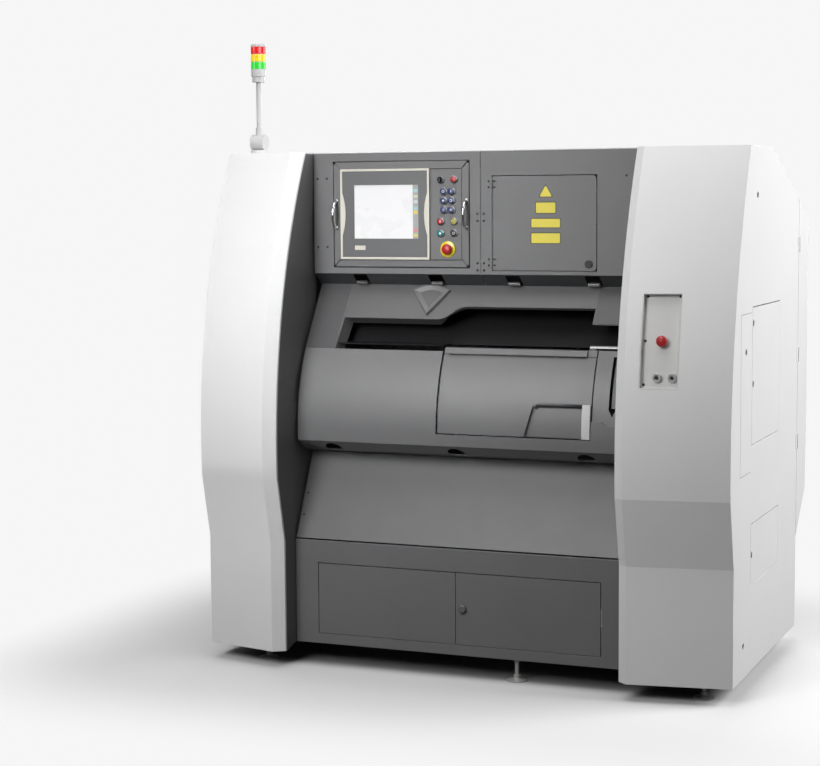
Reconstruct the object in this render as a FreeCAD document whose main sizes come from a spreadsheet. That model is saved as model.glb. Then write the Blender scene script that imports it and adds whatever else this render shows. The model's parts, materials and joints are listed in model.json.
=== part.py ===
"""Metal laser powder-bed printer: a free-standing floor machine, as a parametric assembly.

Millimetres, +Z up, +X to the right of someone facing the machine, +Y to the back.
The origin is on the floor, under the middle of the machine's box.
"""
import FreeCAD, Part
import math
import os
import re

import Sketcher
from FreeCAD import Placement, Rotation, Vector

# --------------------------------------------------------------------------- driving sizes
# Names that end in _back are distances behind front_line, the inner edge of both
# columns at the floor. Heights are above the floor unless the name says otherwise.
SIZES = {
    # whole machine
    "machine_width": 2094, "machine_depth": 1421, "cabinet_height": 1990,
    "left_column_width": 347, "right_column_width": 410,
    "cover_gap": 65, "cover_sheet": 5, "panel_sheet": 3, "door_gap": 3, "running_gap": 0.3,
    # the two front columns: plan outline and curved face
    "bevel_depth": 28, "left_bevel": 46, "right_bevel": 34,
    "left_setback": 42, "right_setback": 32,
    "kick_top": 494, "slant_top": 744, "belly_height": 850, "belly_proud": 60,
    "face_radius": 2430, "lip_width": 12, "cover_seam_back": 300,
    # sides, roof and rear
    "rear_door_depth": 196, "rear_door_bottom": 438, "rear_chamfer": 175,
    "rear_belly_height": 968, "rear_belly_lean": 16, "roof_break_run": 701, "roof_drop": 267, "rear_lean": 8,
    "side_door_width": 477, "upper_side_door_bottom": 908, "upper_side_door_height": 499,
    "lower_side_door_bottom": 392, "lower_side_door_height": 220,
    # welded frame of square tube
    "tube": 60, "frame_bottom": 84, "frame_front_back": 111.3, "post_back": 325,
    "chamber_beam_top": 870, "deck_beam_top": 1540, "side_beam_top": 1760,
    "front_beam_back": 390, "rear_beam_back": 800, "deck_beam_back": 480,
    # levelling feet
    "foot_radius": 39, "foot_height": 12, "spindle_radius": 8, "foot_inset": 211,
    "foot_back": 128, "middle_foot": 235,
    # bay panels
    "fascia_back": 302, "fascia_bottom": 1518, "soffit_back": 360, "soffit_bottom": 1474,
    "fascia_left_width": 700, "seam_width": 2,
    "header_foot_back": 202, "header_foot": 1230, "header_inset": 5, "header_sheet": 5,
    "window_inset": 128, "window_top_inset": 140, "window_top": 1347, "window_high": 1395,
    "window_step_start": 532, "window_step_end": 639, "block_width": 182, "block_bottom": 1337,
    "badge_middle": 483, "badge_half": 78, "badge_top": 1451, "badge_apex": 1359,
    "badge_crown": 1471, "badge_sheet": 6,
    "latch_width": 46, "latch_reach": 16, "screw_head": 5,
    "lower_fascia_back": 97, "lower_fascia_top": 490, "slant_panel_top": 820,
    "slant_panel_top_back": 265, "slant_panel_foot_back": 105, "slant_panel_foot": 495,
    "lower_door_width": 568, "lower_door_bottom": 127, "lower_door_height": 273,
    # drum and chamber door, both about the drum axis
    "drum_axis_back": 747, "drum_axis_height": 920, "drum_radius": 627, "drum_sheet": 6,
    "drum_bottom": 877, "drum_keel_back": 179, "drum_keel": 837, "pull_notch_radius": 35,
    "door_radius": 617, "door_thick": 20, "door_left_of_right": 752, "door_width": 604,
    "door_bottom": 924, "door_top": 1216, "rail_bottom": 1222, "rail_top": 1243,
    "rail_inset": 18, "rail_right_inset": 35, "grip_width": 32, "grip_top": 1050,
    "grip_proud": 12, "pocket_width": 224, "pocket_depth": 8,
    "strip_radius": 612, "strip_step": 990, "slot_inset": 64, "slot_width": 28,
    "slot_bottom": 1007, "slot_top": 1222,
    "liner_radius": 544, "liner_bottom": 1247, "liner_top": 1400,
    "pivot_radius": 15, "pivot_clearance": 0.05, "arm_thick": 9, "rod_radius": 10,
    "rod_orbit": 585, "rod_height": 1250,
    # process chamber and what it holds
    "chamber_width": 570, "chamber_inset": 15, "chamber_front_back": 275,
    "chamber_rear_back": 900, "chamber_height": 355, "chamber_sheet": 12, "chamber_floor": 20,
    "bed_size": 250, "bed_right_inset": 27, "bed_front_inset": 190, "bed_wall": 10,
    "bed_bottom": 470, "platform_thick": 30, "ram_radius": 30, "ram_length": 410,
    "roller_radius": 35, "rail_radius": 9, "lens_radius": 60,
    "laser_length": 560, "laser_width": 390, "laser_height": 160,
    "scan_size": 150, "scan_height": 180,
    # operator console
    "console_left": 616, "console_right": 44, "console_bottom": 1541, "console_top": 1954,
    "console_gap": 3, "frame_bar": 29, "console_thick": 14,
    "screen_bezel_width": 375, "screen_bezel_height": 350, "bezel_rim": 9, "bezel_proud": 8,
    "grip_bulge": 13, "grip_bulge_height": 165, "screen_width": 270, "screen_height": 207,
    "screen_left_inset": 50, "screen_bottom_inset": 81,
    "handle_height": 119, "handle_proud": 40, "handle_bar": 7, "handle_middle": 1746,
    "button_radius": 14.5, "button_stem": 11, "button_cap": 7,
    "key_left": 162, "key_right": 107, "blue_left": 149, "blue_right": 117,
    "key_row_top": 1880, "key_row_low": 1720, "key_row_base": 1675,
    "blue_row_top": 1835, "blue_pitch": 35.5,
    "stop_across": 133, "stop_height": 1614, "stop_disc": 31, "stop_cap": 20, "stop_stem": 9,
    # laser cabinet door
    "laser_door_left": 48, "laser_door_width": 410, "laser_door_bottom": 1535,
    "laser_door_height": 355, "laser_door_corner": 15, "laser_lock_inset": 29,
    "laser_lock_height": 1561, "laser_lock_radius": 15,
    "leaf_width": 17, "leaf_height": 35, "tall_leaf_height": 60, "leaf_thick": 2,
    "barrel_radius": 3.5, "hinge_pin": 1.5, "hinge_clearance": 0.05,
    "pivot_inset": 8, "pivot_pin": 2, "pivot_reach": 14, "side_pivot_pin": 1.5,
    "door_fold": 14, "heel_relief": 4.6,
    "door_knob_radius": 15, "door_knob_height": 264, "door_knob_inset": 28,
    # niche in the right column
    "niche_inset": 86, "niche_width": 137, "niche_bottom": 1136, "niche_height": 334,
    "niche_depth": 25, "niche_sheet": 3, "niche_screw_seat": 1.4, "lock_radius": 16, "lock_height": 1175,
    "lock_left_inset": 59, "lock_pitch": 53, "niche_stop_inset": 72, "niche_stop_height": 1303,
    # signal tower
    "tower_inset": 97, "tower_back": 330, "tower_foot_radius": 34, "tower_foot_height": 14,
    "knuckle_radius": 31, "knuckle_height": 45, "knuckle_length": 28, "cheek_thick": 9,
    "pole_radius": 10, "pole_top": 2273, "lamp_base_radius": 25, "lamp_radius": 29,
    "lamp_height": 28, "lamp_gap": 2, "lamp_base_height": 50, "lamp_cap": 11,
}

# Middles of the soffit latches and of the pull notches under the drum, from the seam.
LATCHES = NOTCHES = 0
for middle in (-510, -193, 123, 439):
    LATCHES += 1
    SIZES[f"latch_{LATCHES}"] = middle
for middle in (-562, -52, 463):
    NOTCHES += 1
    SIZES[f"notch_{NOTCHES}"] = middle
REAR_HINGES = 0
for high in (1616, 1174, 821):
    REAR_HINGES += 1
    SIZES[f"rear_hinge_{REAR_HINGES}"] = high

# Bent edges that no simple rule gives, as (behind front_line, above the floor) points.
EDGES = {
    "cheek": [(300, 1984), (292, 1770), (210, 1455), (168, 1292), (196, 1290), (138, 1137),
              (121, 1136), (100, 1028), (129, 1025), (111, 948), (96, 940), (94, 504), (94, 84)],
    "liner": [(80, 144), (80, 1100), (140, 1300), (270, 1900)],
}
for edge_name, corners in EDGES.items():
    for index, (behind, above) in enumerate(corners, start=1):
        SIZES[f"{edge_name}_{index}_behind"] = behind
        SIZES[f"{edge_name}_{index}_above"] = above

# Places worked out from the driving sizes.
PLACES = {
    "half": "(machine_width / 2)",
    "bay_left": "(left_column_width - half)",
    "bay_right": "(half - right_column_width)",
    "bay_middle": "((bay_left + bay_right) / 2)",
    "back": "(machine_depth / 2)",
    "front_line": "(bevel_depth + belly_proud - back)",
    "side_seam": "(front_line + cover_seam_back)",
    "rear_wall": "(back - rear_door_depth)",
    "roof_break": "(back - roof_break_run)",
    "inner_half": "(half - cover_sheet)",
    "liner_left": "(bay_left - 3 * panel_sheet)",
    "liner_right": "(bay_right + 3 * panel_sheet)",
    "seam_x": "(bay_left + fascia_left_width)",
    "fascia_y": "(front_line + fascia_back)",
    "header_left": "(bay_left + header_inset)",
    "header_right": "(bay_right - header_inset)",
    "axis_y": "(front_line + drum_axis_back)",
    "axis_z": "drum_axis_height",
    "door_left": "(bay_right - door_left_of_right)",
    "door_right": "(door_left + door_width)",
    "chamber_left": "(door_left + chamber_inset)",
    "chamber_right": "(chamber_left + chamber_width)",
    "chamber_front": "(front_line + chamber_front_back)",
    "chamber_rear": "(front_line + chamber_rear_back)",
    "chamber_base": "chamber_beam_top",
    "chamber_top": "(chamber_base + chamber_height)",
    "work_plane": "(chamber_base + chamber_floor)",
    "bed_right": "(chamber_right - bed_right_inset)",
    "bed_left": "(bed_right - bed_size)",
    "bed_front": "(chamber_front + bed_front_inset)",
    "bed_rear": "(bed_front + bed_size)",
    "console_x0": "(seam_x - console_left)",
    "console_x1": "(seam_x - console_right)",
    "console_face": "fascia_y",
    "bezel_x0": "(console_x0 + frame_bar + console_gap + 2)",
    "bezel_x1": "(bezel_x0 + screen_bezel_width)",
    "laser_x0": "(seam_x + laser_door_left)",
    "laser_x1": "(laser_x0 + laser_door_width)",
    "laser_z1": "(laser_door_bottom + laser_door_height)",
    "lower_door_top": "(lower_door_bottom + lower_door_height)",
    "lower_fascia_y": "(front_line + lower_fascia_back)",
    "column_edge": "(bay_right + right_bevel)",
    "column_yaw_rise": "((right_setback + bevel_depth) / (half - column_edge))",
    "niche_x0": "(bay_right + niche_inset)",
    "niche_x1": "(niche_x0 + niche_width)",
    "tower_x": "(tower_inset - half)",
    "tower_y": "(front_line + tower_back)",
    "knuckle_z": "(cabinet_height + knuckle_height)",
    "lamp_floor": "(pole_top + lamp_base_height)",
}

doc = FreeCAD.newDocument("LaserPrinter")
sheet = doc.addObject("Spreadsheet::Sheet", "Sizes")
for row, (name, size) in enumerate(SIZES.items(), start=1):
    sheet.set(f"A{row}", name)
    sheet.set(f"B{row}", str(size))
    sheet.setAlias(f"B{row}", name)
doc.recompute()

WORD = re.compile(r"[a-z][a-z_0-9]*")


def formula(text):
    """Spell out a short formula: places become their own formulas, sizes become cells."""
    def spell(match):
        word = match.group(0)
        if word in PLACES:
            return formula(PLACES[word])
        return f"Sizes.{word}" if word in SIZES else word
    return WORD.sub(spell, str(text))


def number(text):
    """The present value of a formula."""
    return float(sheet.evalExpression(formula(text)))


def bind(item, target, text):
    item.setExpression(target, formula(text))


# --------------------------------------------------------------------------- building blocks
counts = {}


def make(kind, stem):
    """A new document object with a readable, unique name."""
    counts[stem] = counts.get(stem, 0) + 1
    item = doc.addObject(kind, f"{stem}_{counts[stem]}")
    return item


def place(item, x=0, y=0, z=0, turn=None):
    if turn:
        item.Placement = Placement(Vector(), turn)
    for axis, text in zip("xyz", (x, y, z)):
        if str(text) != "0":
            bind(item, f".Placement.Base.{axis}", text)
    return item


def box(x0, x1, y0, y1, z0, z1):
    item = make("Part::Box", "box")
    for side, low, high in (("Length", x0, x1), ("Width", y0, y1), ("Height", z0, z1)):
        bind(item, side, f"({high}) - ({low})")
    return place(item, x0, y0, z0)


TO_AXIS = {
    "x": Rotation(Vector(0, 1, 0), 90),
    "y": Rotation(Vector(1, 0, 0), -90),
    "z": Rotation(),
}


def rod(axis, centre, radius, start, end):
    """A cylinder along x, y or z; centre gives its place on the other two axes."""
    item = make("Part::Cylinder", "rod")
    bind(item, "Radius", radius)
    bind(item, "Height", f"({end}) - ({start})")
    spot = {"x": (start, *centre), "y": (centre[0], start, centre[1]), "z": (*centre, start)}
    return place(item, *spot[axis], turn=TO_AXIS[axis])


def outline(points):
    """A closed sketch. A point is (across, up), or (across, up, turn, radius) where the edge
    that arrives there is an arc that turns 'left' or 'right'."""
    item = make("Sketcher::SketchObject", "outline")
    spots = [Vector(number(point[0]), number(point[1]), 0) for point in points]
    ends = []
    for index, point in enumerate(points):
        start, stop = spots[index - 1], spots[index]
        if len(point) == 2:
            edge = item.addGeometry(Part.LineSegment(start, stop))
            ends.append((edge, 1, 2))
            continue
        radius = number(point[3])
        chord = stop - start
        side = Vector(-chord.y, chord.x, 0).normalize()
        left = point[2] == "left"
        lift = math.sqrt(max(radius ** 2 - chord.Length ** 2 / 4, 0))
        centre = (start + stop) / 2 + side * (lift if left else -lift)
        first, last = (start, stop) if left else (stop, start)
        angles = [math.atan2(spot.y - centre.y, spot.x - centre.x) for spot in (first, last)]
        circle = Part.Circle(centre, Vector(0, 0, 1), radius)
        edge = item.addGeometry(Part.ArcOfCircle(circle, angles[0], angles[1]))
        ends.append((edge, 1, 2) if left else (edge, 2, 1))
        rule = item.addConstraint(Sketcher.Constraint("Radius", edge, radius))
        bind(item, f"Constraints[{rule}]", point[3])
    for index, (edge, _, stop) in enumerate(ends):
        following, start, _ = ends[(index + 1) % len(ends)]
        item.addConstraint(Sketcher.Constraint("Coincident", edge, stop, following, start))
        for kind, text, size in (("DistanceX", points[index][0], spots[index].x),
                                 ("DistanceY", points[index][1], spots[index].y)):
            rule = item.addConstraint(Sketcher.Constraint(kind, -1, 1, edge, stop, size))
            bind(item, f"Constraints[{rule}]", text)
    return item


ACROSS = {
    "x": (Rotation(Vector(1, 1, 1), 120), Vector(1, 0, 0)),
    "y": (Rotation(Vector(1, 0, 0), 90), Vector(0, 1, 0)),
    "z": (Rotation(), Vector(0, 0, 1)),
}


def prism(axis, points, start, end):
    """An outline drawn across x, y or z and pushed along it from start to end."""
    turn, direction = ACROSS[axis]
    sketch = outline(points)
    place(sketch, **{axis: start}, turn=turn)
    item = make("Part::Extrusion", "prism")
    item.Base, item.Solid, item.DirMode, item.Dir = sketch, True, "Custom", direction
    bind(item, "LengthFwd", f"({end}) - ({start})")
    return item


def skew(points, start, end):
    """An outline in the y-z plane, pushed from one plan point (x, y) to another."""
    sketch = outline(points)
    place(sketch, start[0], start[1], turn=ACROSS["x"][0])
    item = make("Part::Extrusion", "skew")
    item.Base, item.Solid, item.DirMode = sketch, True, "Custom"
    item.LengthFwd, item.LengthRev = 0, 0
    item.Dir = Vector(1, 0, 0)
    bind(item, "Dir.x", f"({end[0]}) - ({start[0]})")
    bind(item, "Dir.y", f"({end[1]}) - ({start[1]})")
    return item


FACING = {
    "up": Rotation(Vector(1, 0, 0), 90),
    "front": Rotation(Vector(0, 0, 1), 180),
    "right": Rotation(Vector(0, 0, 1), -90),
}


def turned(facing, x, y, z, points):
    """A turned piece: (radius, height) points spun about its axis, height towards facing."""
    item = make("Part::Revolution", "turned")
    item.Source, item.Solid = outline(points), True
    item.Axis, item.Base, item.Angle = Vector(0, 1, 0), Vector(), 360
    return place(item, x, y, z, turn=FACING[facing])


def fuse(*pieces):
    item = make("Part::MultiFuse", "fuse")
    item.Shapes = list(pieces)
    return item


def together(*pieces):
    """Separate solids that make one node."""
    item = make("Part::Compound", "group")
    item.Links = list(pieces)
    return item


def cut(base, *tools):
    item = make("Part::Cut", "cut")
    item.Base = base
    item.Tool = tools[0] if len(tools) == 1 else together(*tools)
    return item


def common(base, tool):
    item = make("Part::Common", "common")
    item.Base, item.Tool = base, tool
    return item


nodes = []


def node(name, item):
    item.Label = name
    nodes.append(item)


def plate_with_hole(x0, x1, z0, z1, hole, y0, y1):
    """An upright plate that faces the front, with one rectangular hole."""
    return cut(box(x0, x1, y0, y1, z0, z1), box(hole[0], hole[1], f"{y0} - 1", f"{y1} + 1",
                                               hole[2], hole[3]))


def folded_lips(hole, y0):
    """The edges of a sheet's rectangular hole, turned in to carry a door's pivot pins."""
    outer = (f"{hole[0]} - panel_sheet", f"{hole[1]} + panel_sheet",
             f"{hole[2]} - panel_sheet", f"{hole[3]} + panel_sheet")
    return plate_with_hole(*outer, hole, y0, f"{y0} + door_fold")


def ring(outer, inner, x0, x1, y0, y1, z0, z1):
    """The part of a tube about the drum axis that lies inside a box."""
    centre = ("axis_y", "axis_z")
    tube = cut(rod("x", centre, outer, x0, x1), rod("x", centre, inner, f"{x0} - 1", f"{x1} + 1"))
    return common(tube, box(x0, x1, y0, y1, z0, z1))


# --------------------------------------------------------------------------- frame and feet
def base_frame():
    outer = "(inner_half - running_gap)"
    front, rear = "front_line + frame_front_back", "rear_wall - cover_sheet"
    low, low_top = "frame_bottom", "frame_bottom + tube"
    roof = "cabinet_height - cover_sheet"
    post0, post1 = "front_line + post_back", "front_line + post_back + tube"
    parts = [
        box(f"-{outer}", outer, front, f"{front} + tube", low, low_top),
        box(f"-{outer}", outer, f"{rear} - tube", rear, low, low_top),
        box(f"-{outer} + tube", f"{outer} - tube", f"{rear} - tube", rear,
            "chamber_beam_top - tube", "chamber_beam_top"),
        box(f"-{outer} + tube", f"{outer} - tube", post0, post1, f"{roof} - tube", roof),
    ]
    inner_posts = (("liner_left - tube", "liner_left"), ("liner_right", "liner_right + tube"))
    for x0, x1 in ((f"-{outer}", f"-{outer} + tube"), (f"{outer} - tube", outer)):
        parts.append(box(x0, x1, front, rear, low, low_top))
        parts.append(box(x0, x1, post0, post1, low, roof))
        parts.append(box(x0, x1, f"{rear} - tube", rear, low, "side_beam_top"))
        parts.append(box(x0, x1, post1, rear, "side_beam_top - tube", "side_beam_top"))
    for x0, x1 in inner_posts:
        parts.append(box(x0, x1, post0, post1, low_top, roof))
        parts.append(box(x0, x1, front, rear, low, low_top))
        parts.append(box(x0, x1, post1, f"{rear} - tube", "chamber_beam_top - tube",
                         "chamber_beam_top"))
        parts.append(box(x0, x1, post1, "front_line + deck_beam_back + 8 * tube",
                         "deck_beam_top - tube", "deck_beam_top"))
    for beam_back in ("front_beam_back", "rear_beam_back"):
        y0 = f"front_line + {beam_back}"
        parts.append(box("liner_left", "liner_right", y0, f"{y0} + tube",
                         "chamber_beam_top - tube", "chamber_beam_top"))
    for step in ("0", "7 * tube"):
        y0 = f"front_line + deck_beam_back + {step}"
        parts.append(box("liner_left", "liner_right", y0, f"{y0} + tube",
                         "deck_beam_top - tube", "deck_beam_top"))
    node("base_frame", fuse(*parts))


def foot_places():
    xs = ("foot_inset - half", "bay_middle + middle_foot", "half - 0.6 * foot_inset")
    for y in ("front_line + foot_back", "rear_wall - 5 - tube / 2"):
        for x in xs:
            yield x, y


def leveling_feet():
    pad = [("0", "0"), ("foot_radius", "0"), ("foot_radius", "0.3 * foot_height"),
           ("1.6 * spindle_radius", "foot_height"), ("1.6 * spindle_radius", "2 * foot_height"),
           ("spindle_radius", "2 * foot_height"), ("spindle_radius", "frame_bottom - 12"),
           ("1.5 * spindle_radius", "frame_bottom - 12"), ("1.5 * spindle_radius", "frame_bottom"),
           ("0", "frame_bottom")]
    node("leveling_feet", together(*[turned("up", x, y, 0, pad) for x, y in foot_places()]))


# --------------------------------------------------------------------------- outer covers
def face_out(z, extra="0"):
    """How far the curved column face stands behind its floor line, at a height."""
    return (f"(face_radius - belly_proud - sqrt(face_radius^2 - ({z} - belly_height)^2)"
            f" + {extra})")


def face_edge(y, top, shift="0"):
    """The column's front edge from the floor gap up to a height, as outline points."""
    return [(f"{y} + {shift}", "cover_gap"), (f"{y} + {shift}", "kick_top"),
            (f"{y} + {face_out('slant_top', shift)}", "slant_top"),
            (f"{y} + {face_out(top, shift)}", top, "right", "face_radius")]


def face_band(top, thick, shift="0"):
    """The front edge and its copy one thickness further back, closed into a strip."""
    inner = f"{shift} + {thick}"
    return face_edge("0", top, shift) + [
        (face_out(top, inner), top),
        (face_out("slant_top", inner), "slant_top", "left", "face_radius"),
        (inner, "kick_top"), (inner, "cover_gap")]


def column_corners(side):
    """Plan corners of a column: bay edge, bevel corner, outer corner."""
    if side == "right":
        return (("bay_right", "front_line"), ("bay_right + right_bevel",
                "front_line - bevel_depth"), ("half", "front_line + right_setback"))
    return (("bay_left", "front_line"), ("bay_left - left_bevel", "front_line - bevel_depth"),
            ("-half", "front_line + left_setback"))


def column_cover(side):
    top = "cabinet_height"
    edge, bevel, corner = column_corners(side)
    lip = face_edge(edge[1], top) + [(f"{edge[1]} + {face_out(top)} + lip_width", top),
                                     (f"{edge[1]} + {face_out('slant_top')} + lip_width",
                                      "slant_top", "left", "face_radius"),
                                     (f"{edge[1]} + lip_width", "kick_top"),
                                     (f"{edge[1]} + lip_width", "cover_gap")]
    flank = face_edge(corner[1], top) + [("side_seam", top), ("side_seam", "cover_gap")]
    if side == "right":
        sides = (("bay_right", "bay_right + cover_sheet"), ("inner_half", "half"))
    else:
        sides = (("bay_left - cover_sheet", "bay_left"), ("-half", "-inner_half"))
    strip = face_band(top, "cover_sheet")
    return fuse(skew(strip, edge, bevel), skew(strip, bevel, corner),
                prism("x", lip, *sides[0]), prism("x", flank, *sides[1]))


def right_niche():
    """The tray let into the right column's face, with the collars of what sits in it."""
    bevel, corner = column_corners("right")[1:]
    mouth = ("niche_x0", "niche_x1", "front_line - bevel_depth - belly_proud",
             "front_line + cover_seam_back", "niche_bottom", "niche_bottom + niche_height")
    core = skew(face_band("cabinet_height", "niche_depth + niche_sheet"), bevel, corner)
    walls = cut(common(box(*mouth), core),
                box("niche_x0 + niche_sheet", "niche_x1 - niche_sheet", mouth[2], mouth[3],
                    "niche_bottom + niche_sheet", "niche_bottom + niche_height - niche_sheet"))
    floor = common(box(*mouth), skew(face_band("cabinet_height", "niche_sheet", "niche_depth"),
                                     bevel, corner))
    tray = fuse(walls, floor)
    bosses, bores = [], []
    for x, z, radius in (*niche_locks(), niche_stop()):
        face = niche_floor_y(x, z)
        bosses.append(rod("y", (x, z), f"{radius} + 3", f"{face} - 6", f"{face} + 10"))
        bores.append(rod("y", (x, z), f"{radius} + hinge_clearance", f"{face} - 30",
                         f"{face} + 30"))
    node("niche_plate", cut(fuse(tray, *bosses), *bores))


def niche_floor_y(x, z):
    """Where the niche's floor is at a place across and up."""
    return (f"(front_line - bevel_depth + ({x} - column_edge) * column_yaw_rise"
            f" + {face_out(z)} + niche_depth)")


def niche_locks():
    for step in ("0", "lock_pitch"):
        yield f"(niche_x0 + lock_left_inset + {step})", "lock_height", "0.62 * lock_radius"


def niche_stop():
    return "(niche_x0 + niche_stop_inset)", "niche_stop_height", "stop_stem"


def side_door_openings():
    """Front edge, rear edge, bottom and top of the two doors in the right side."""
    front = "side_seam + door_gap"
    for low, rise in (("upper_side_door_bottom", "upper_side_door_height"),
                      ("lower_side_door_bottom", "lower_side_door_height")):
        yield front, f"{front} + side_door_width", low, f"{low} + {rise}"


def roof_at(y):
    return f"(cabinet_height - roof_drop * ({y} - roof_break) / (roof_break_run - rear_lean))"


def body_panels():
    flank = [("side_seam", "cover_gap"), ("rear_wall", "cover_gap"),
             ("rear_wall", roof_at("rear_wall")), ("roof_break", "cabinet_height"),
             ("side_seam", "cabinet_height")]
    left = prism("x", flank, "-half", "-inner_half")
    right = prism("x", flank, "inner_half", "half")
    openings = [box("inner_half - 1", "half + 1", f"{y0} - door_gap - 1", f"{y1} + door_gap",
                    f"{z0} - door_gap", f"{z1} + door_gap")
                for y0, y1, z0, z1 in side_door_openings()]
    rear = box("-inner_half", "inner_half", "rear_wall - cover_sheet", "rear_wall",
               "cover_gap", "rear_door_bottom")
    node("body_panels", together(left, cut(right, *openings), rear))


def top_cover():
    """A flat sheet let in between the column covers and the sides, then the rear slope."""
    low, top = "cabinet_height - cover_sheet", "cabinet_height"
    lap = "2 * cover_sheet"
    plan = []
    for side in ("left", "right"):
        edge, bevel, corner = column_corners(side)
        inward = "-" if side == "right" else "+"
        row = [(f"{corner[0]} {inward} cover_sheet", corner[1]), bevel,
               (f"{edge[0]} {'+' if side == 'right' else '-'} cover_sheet", edge[1])]
        row = [(x, f"{y} + {face_out(top, lap)}") for x, y in row]
        plan += row if side == "left" else row[::-1]
    inner = ["bay_left - cover_sheet", "bay_right + cover_sheet"]
    plan[3:3] = [(x, "fascia_y + panel_sheet") for x in inner]
    plan += [("inner_half", "roof_break"), ("-inner_half", "roof_break")]
    slope = [("roof_break", top), ("roof_break", low),
             ("rear_wall", f"{roof_at('rear_wall')} - cover_sheet"),
             ("rear_wall", roof_at("rear_wall"))]
    node("top_cover", fuse(prism("z", plan, low, top),
                           prism("x", slope, "-inner_half", "inner_half")))


# --------------------------------------------------------------------------- the bay
def named_edge(name):
    return [(f"front_line + {name}_{index}_behind", f"{name}_{index}_above")
            for index in range(1, len(EDGES[name]) + 1)]


def cheek_panels():
    """Dark side walls of the bay, with lugs on their rear edge, over plain liners."""
    front = [("front_line + lip_width", "cover_gap"), ("front_line + lip_width", "kick_top"),
             (f"front_line + lip_width + {face_out('slant_top')}", "slant_top"),
             (f"front_line + lip_width + {face_out('cabinet_height - cover_sheet')}",
              "cabinet_height - cover_sheet", "right", "face_radius")]
    cheek = front + named_edge("cheek")
    liner = named_edge("liner") + [("front_line + post_back", "liner_4_above"),
                                   ("front_line + post_back", "liner_1_above")]
    pieces = []
    for x0, x1, back0, back1 in (
            ("bay_left - panel_sheet", "bay_left", "liner_left", "liner_left + panel_sheet"),
            ("bay_right", "bay_right + panel_sheet", "liner_right - panel_sheet", "liner_right")):
        pieces.append(prism("x", cheek, x0, x1))
        pieces.append(prism("x", liner, back0, back1))
    node("cheek_panels", together(*pieces))


def console_hole():
    return "console_x0", "console_x1", "console_bottom", "console_top"


def upper_fascia():
    """Two folded sheets that meet at the seam, with the soffit turned in under them."""
    y0, y1 = "fascia_y", "fascia_y + panel_sheet"
    fold = [("fascia_y", "fascia_bottom"), ("front_line + soffit_back", "soffit_bottom"),
            ("front_line + soffit_back + panel_sheet", "soffit_bottom + 1"),
            ("fascia_y + panel_sheet", "fascia_bottom + 1")]
    top = "cabinet_height - cover_sheet"
    left, right = ("bay_left", "seam_x - seam_width"), ("seam_x", "bay_right")
    door = ("laser_x0 - door_gap", "laser_x1 + door_gap",
            "laser_door_bottom - door_gap", "laser_z1 + door_gap")
    pieces = []
    for (x0, x1), hole in ((left, console_hole()), (right, door)):
        plate = plate_with_hole(x0, x1, "fascia_bottom", top, hole, y0, y1)
        lips = [folded_lips(hole, y0)] if hole == console_hole() else []
        pieces.append(fuse(plate, prism("x", fold, x0, x1), *lips))
    slots = [box(x0, x1, "fascia_y - 1", "front_line + soffit_back + 5",
                 "soffit_bottom + 3", "fascia_bottom - 3") for x0, x1, _ in latch_slots()]
    node("upper_fascia", cut(together(*pieces), *slots))


def latch_slots():
    """Edges and middle of each latch cut-out in the soffit."""
    for index in range(1, LATCHES + 1):
        middle = f"(seam_x + latch_{index})"
        yield f"{middle} - 0.65 * latch_width", f"{middle} + 0.65 * latch_width", middle


def hood_latches():
    """Draw latches that hold the hood header up to the soffit."""
    pieces = []
    for _, _, middle in latch_slots():
        x0, x1 = f"{middle} - latch_width / 2", f"{middle} + latch_width / 2"
        y = "(front_line + soffit_back)"
        foot = "soffit_bottom - running_gap"
        profile = [(header_at(foot), foot), (f"{y} - 8", "soffit_bottom + 5"),
                   (f"{y} - latch_reach - 8", "soffit_bottom + 16"),
                   (f"{y} - latch_reach - 14", "soffit_bottom + 8"),
                   (f"{y} - latch_reach - 6", foot)]
        pieces.append(prism("x", profile, x0, x1))
    node("hood_latches", together(*pieces))


def header_at(z, extra="0"):
    """The hood header's outer face, at a height."""
    return (f"(front_line + header_foot_back + ({z} - header_foot)"
            f" * (soffit_back - header_foot_back) / (soffit_bottom - header_foot) + {extra})")


def hood_header():
    """The sloping sheet over the window, with its raised badge seat left plain."""
    top, foot = "soffit_bottom - running_gap", "header_foot"
    slab = [(header_at(top), top), (header_at(foot), foot),
            (header_at(foot, "header_sheet"), foot), (header_at(top, "header_sheet"), top)]
    plate = prism("x", slab, "header_left", "header_right")
    rise = "(window_high - window_top)"
    run = "(window_step_end - window_step_start)"
    bend = f"(({run}^2 + {rise}^2) / (4 * {rise}))"
    middle = "bay_left + (window_step_start + window_step_end) / 2"
    window = [("bay_left + window_inset", f"{foot} - 2"),
              ("bay_left + window_top_inset", "window_top"),
              ("bay_left + window_step_start", "window_top"),
              (middle, "(window_top + window_high) / 2", "left", bend),
              ("bay_left + window_step_end", "window_high", "right", bend),
              ("bay_right - block_width", "window_high"),
              ("bay_right - block_width", "block_bottom"), ("header_right + 5", "block_bottom"),
              ("header_right + 5", f"{foot} - 2")]
    plate = cut(plate, prism("y", window, "fascia_y - 150", "fascia_y + 150"))
    centre = "(bay_left + badge_middle)"
    badge = [(centre, "badge_apex"), (f"{centre} + badge_half", "badge_top"),
             (f"{centre} - badge_half", "badge_top", "left",
              "((badge_half^2 + (badge_crown - badge_top)^2) / 2 / (badge_crown - badge_top))")]
    face = [(header_at(top, "-badge_sheet"), top), (header_at(foot, "-badge_sheet"), foot),
            (header_at(foot), foot), (header_at(top), top)]
    seat = common(prism("y", badge, "fascia_y - 150", "fascia_y + 150"),
                  prism("x", face, "header_left", "header_right"))
    node("hood_header", fuse(plate, seat))


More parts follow.
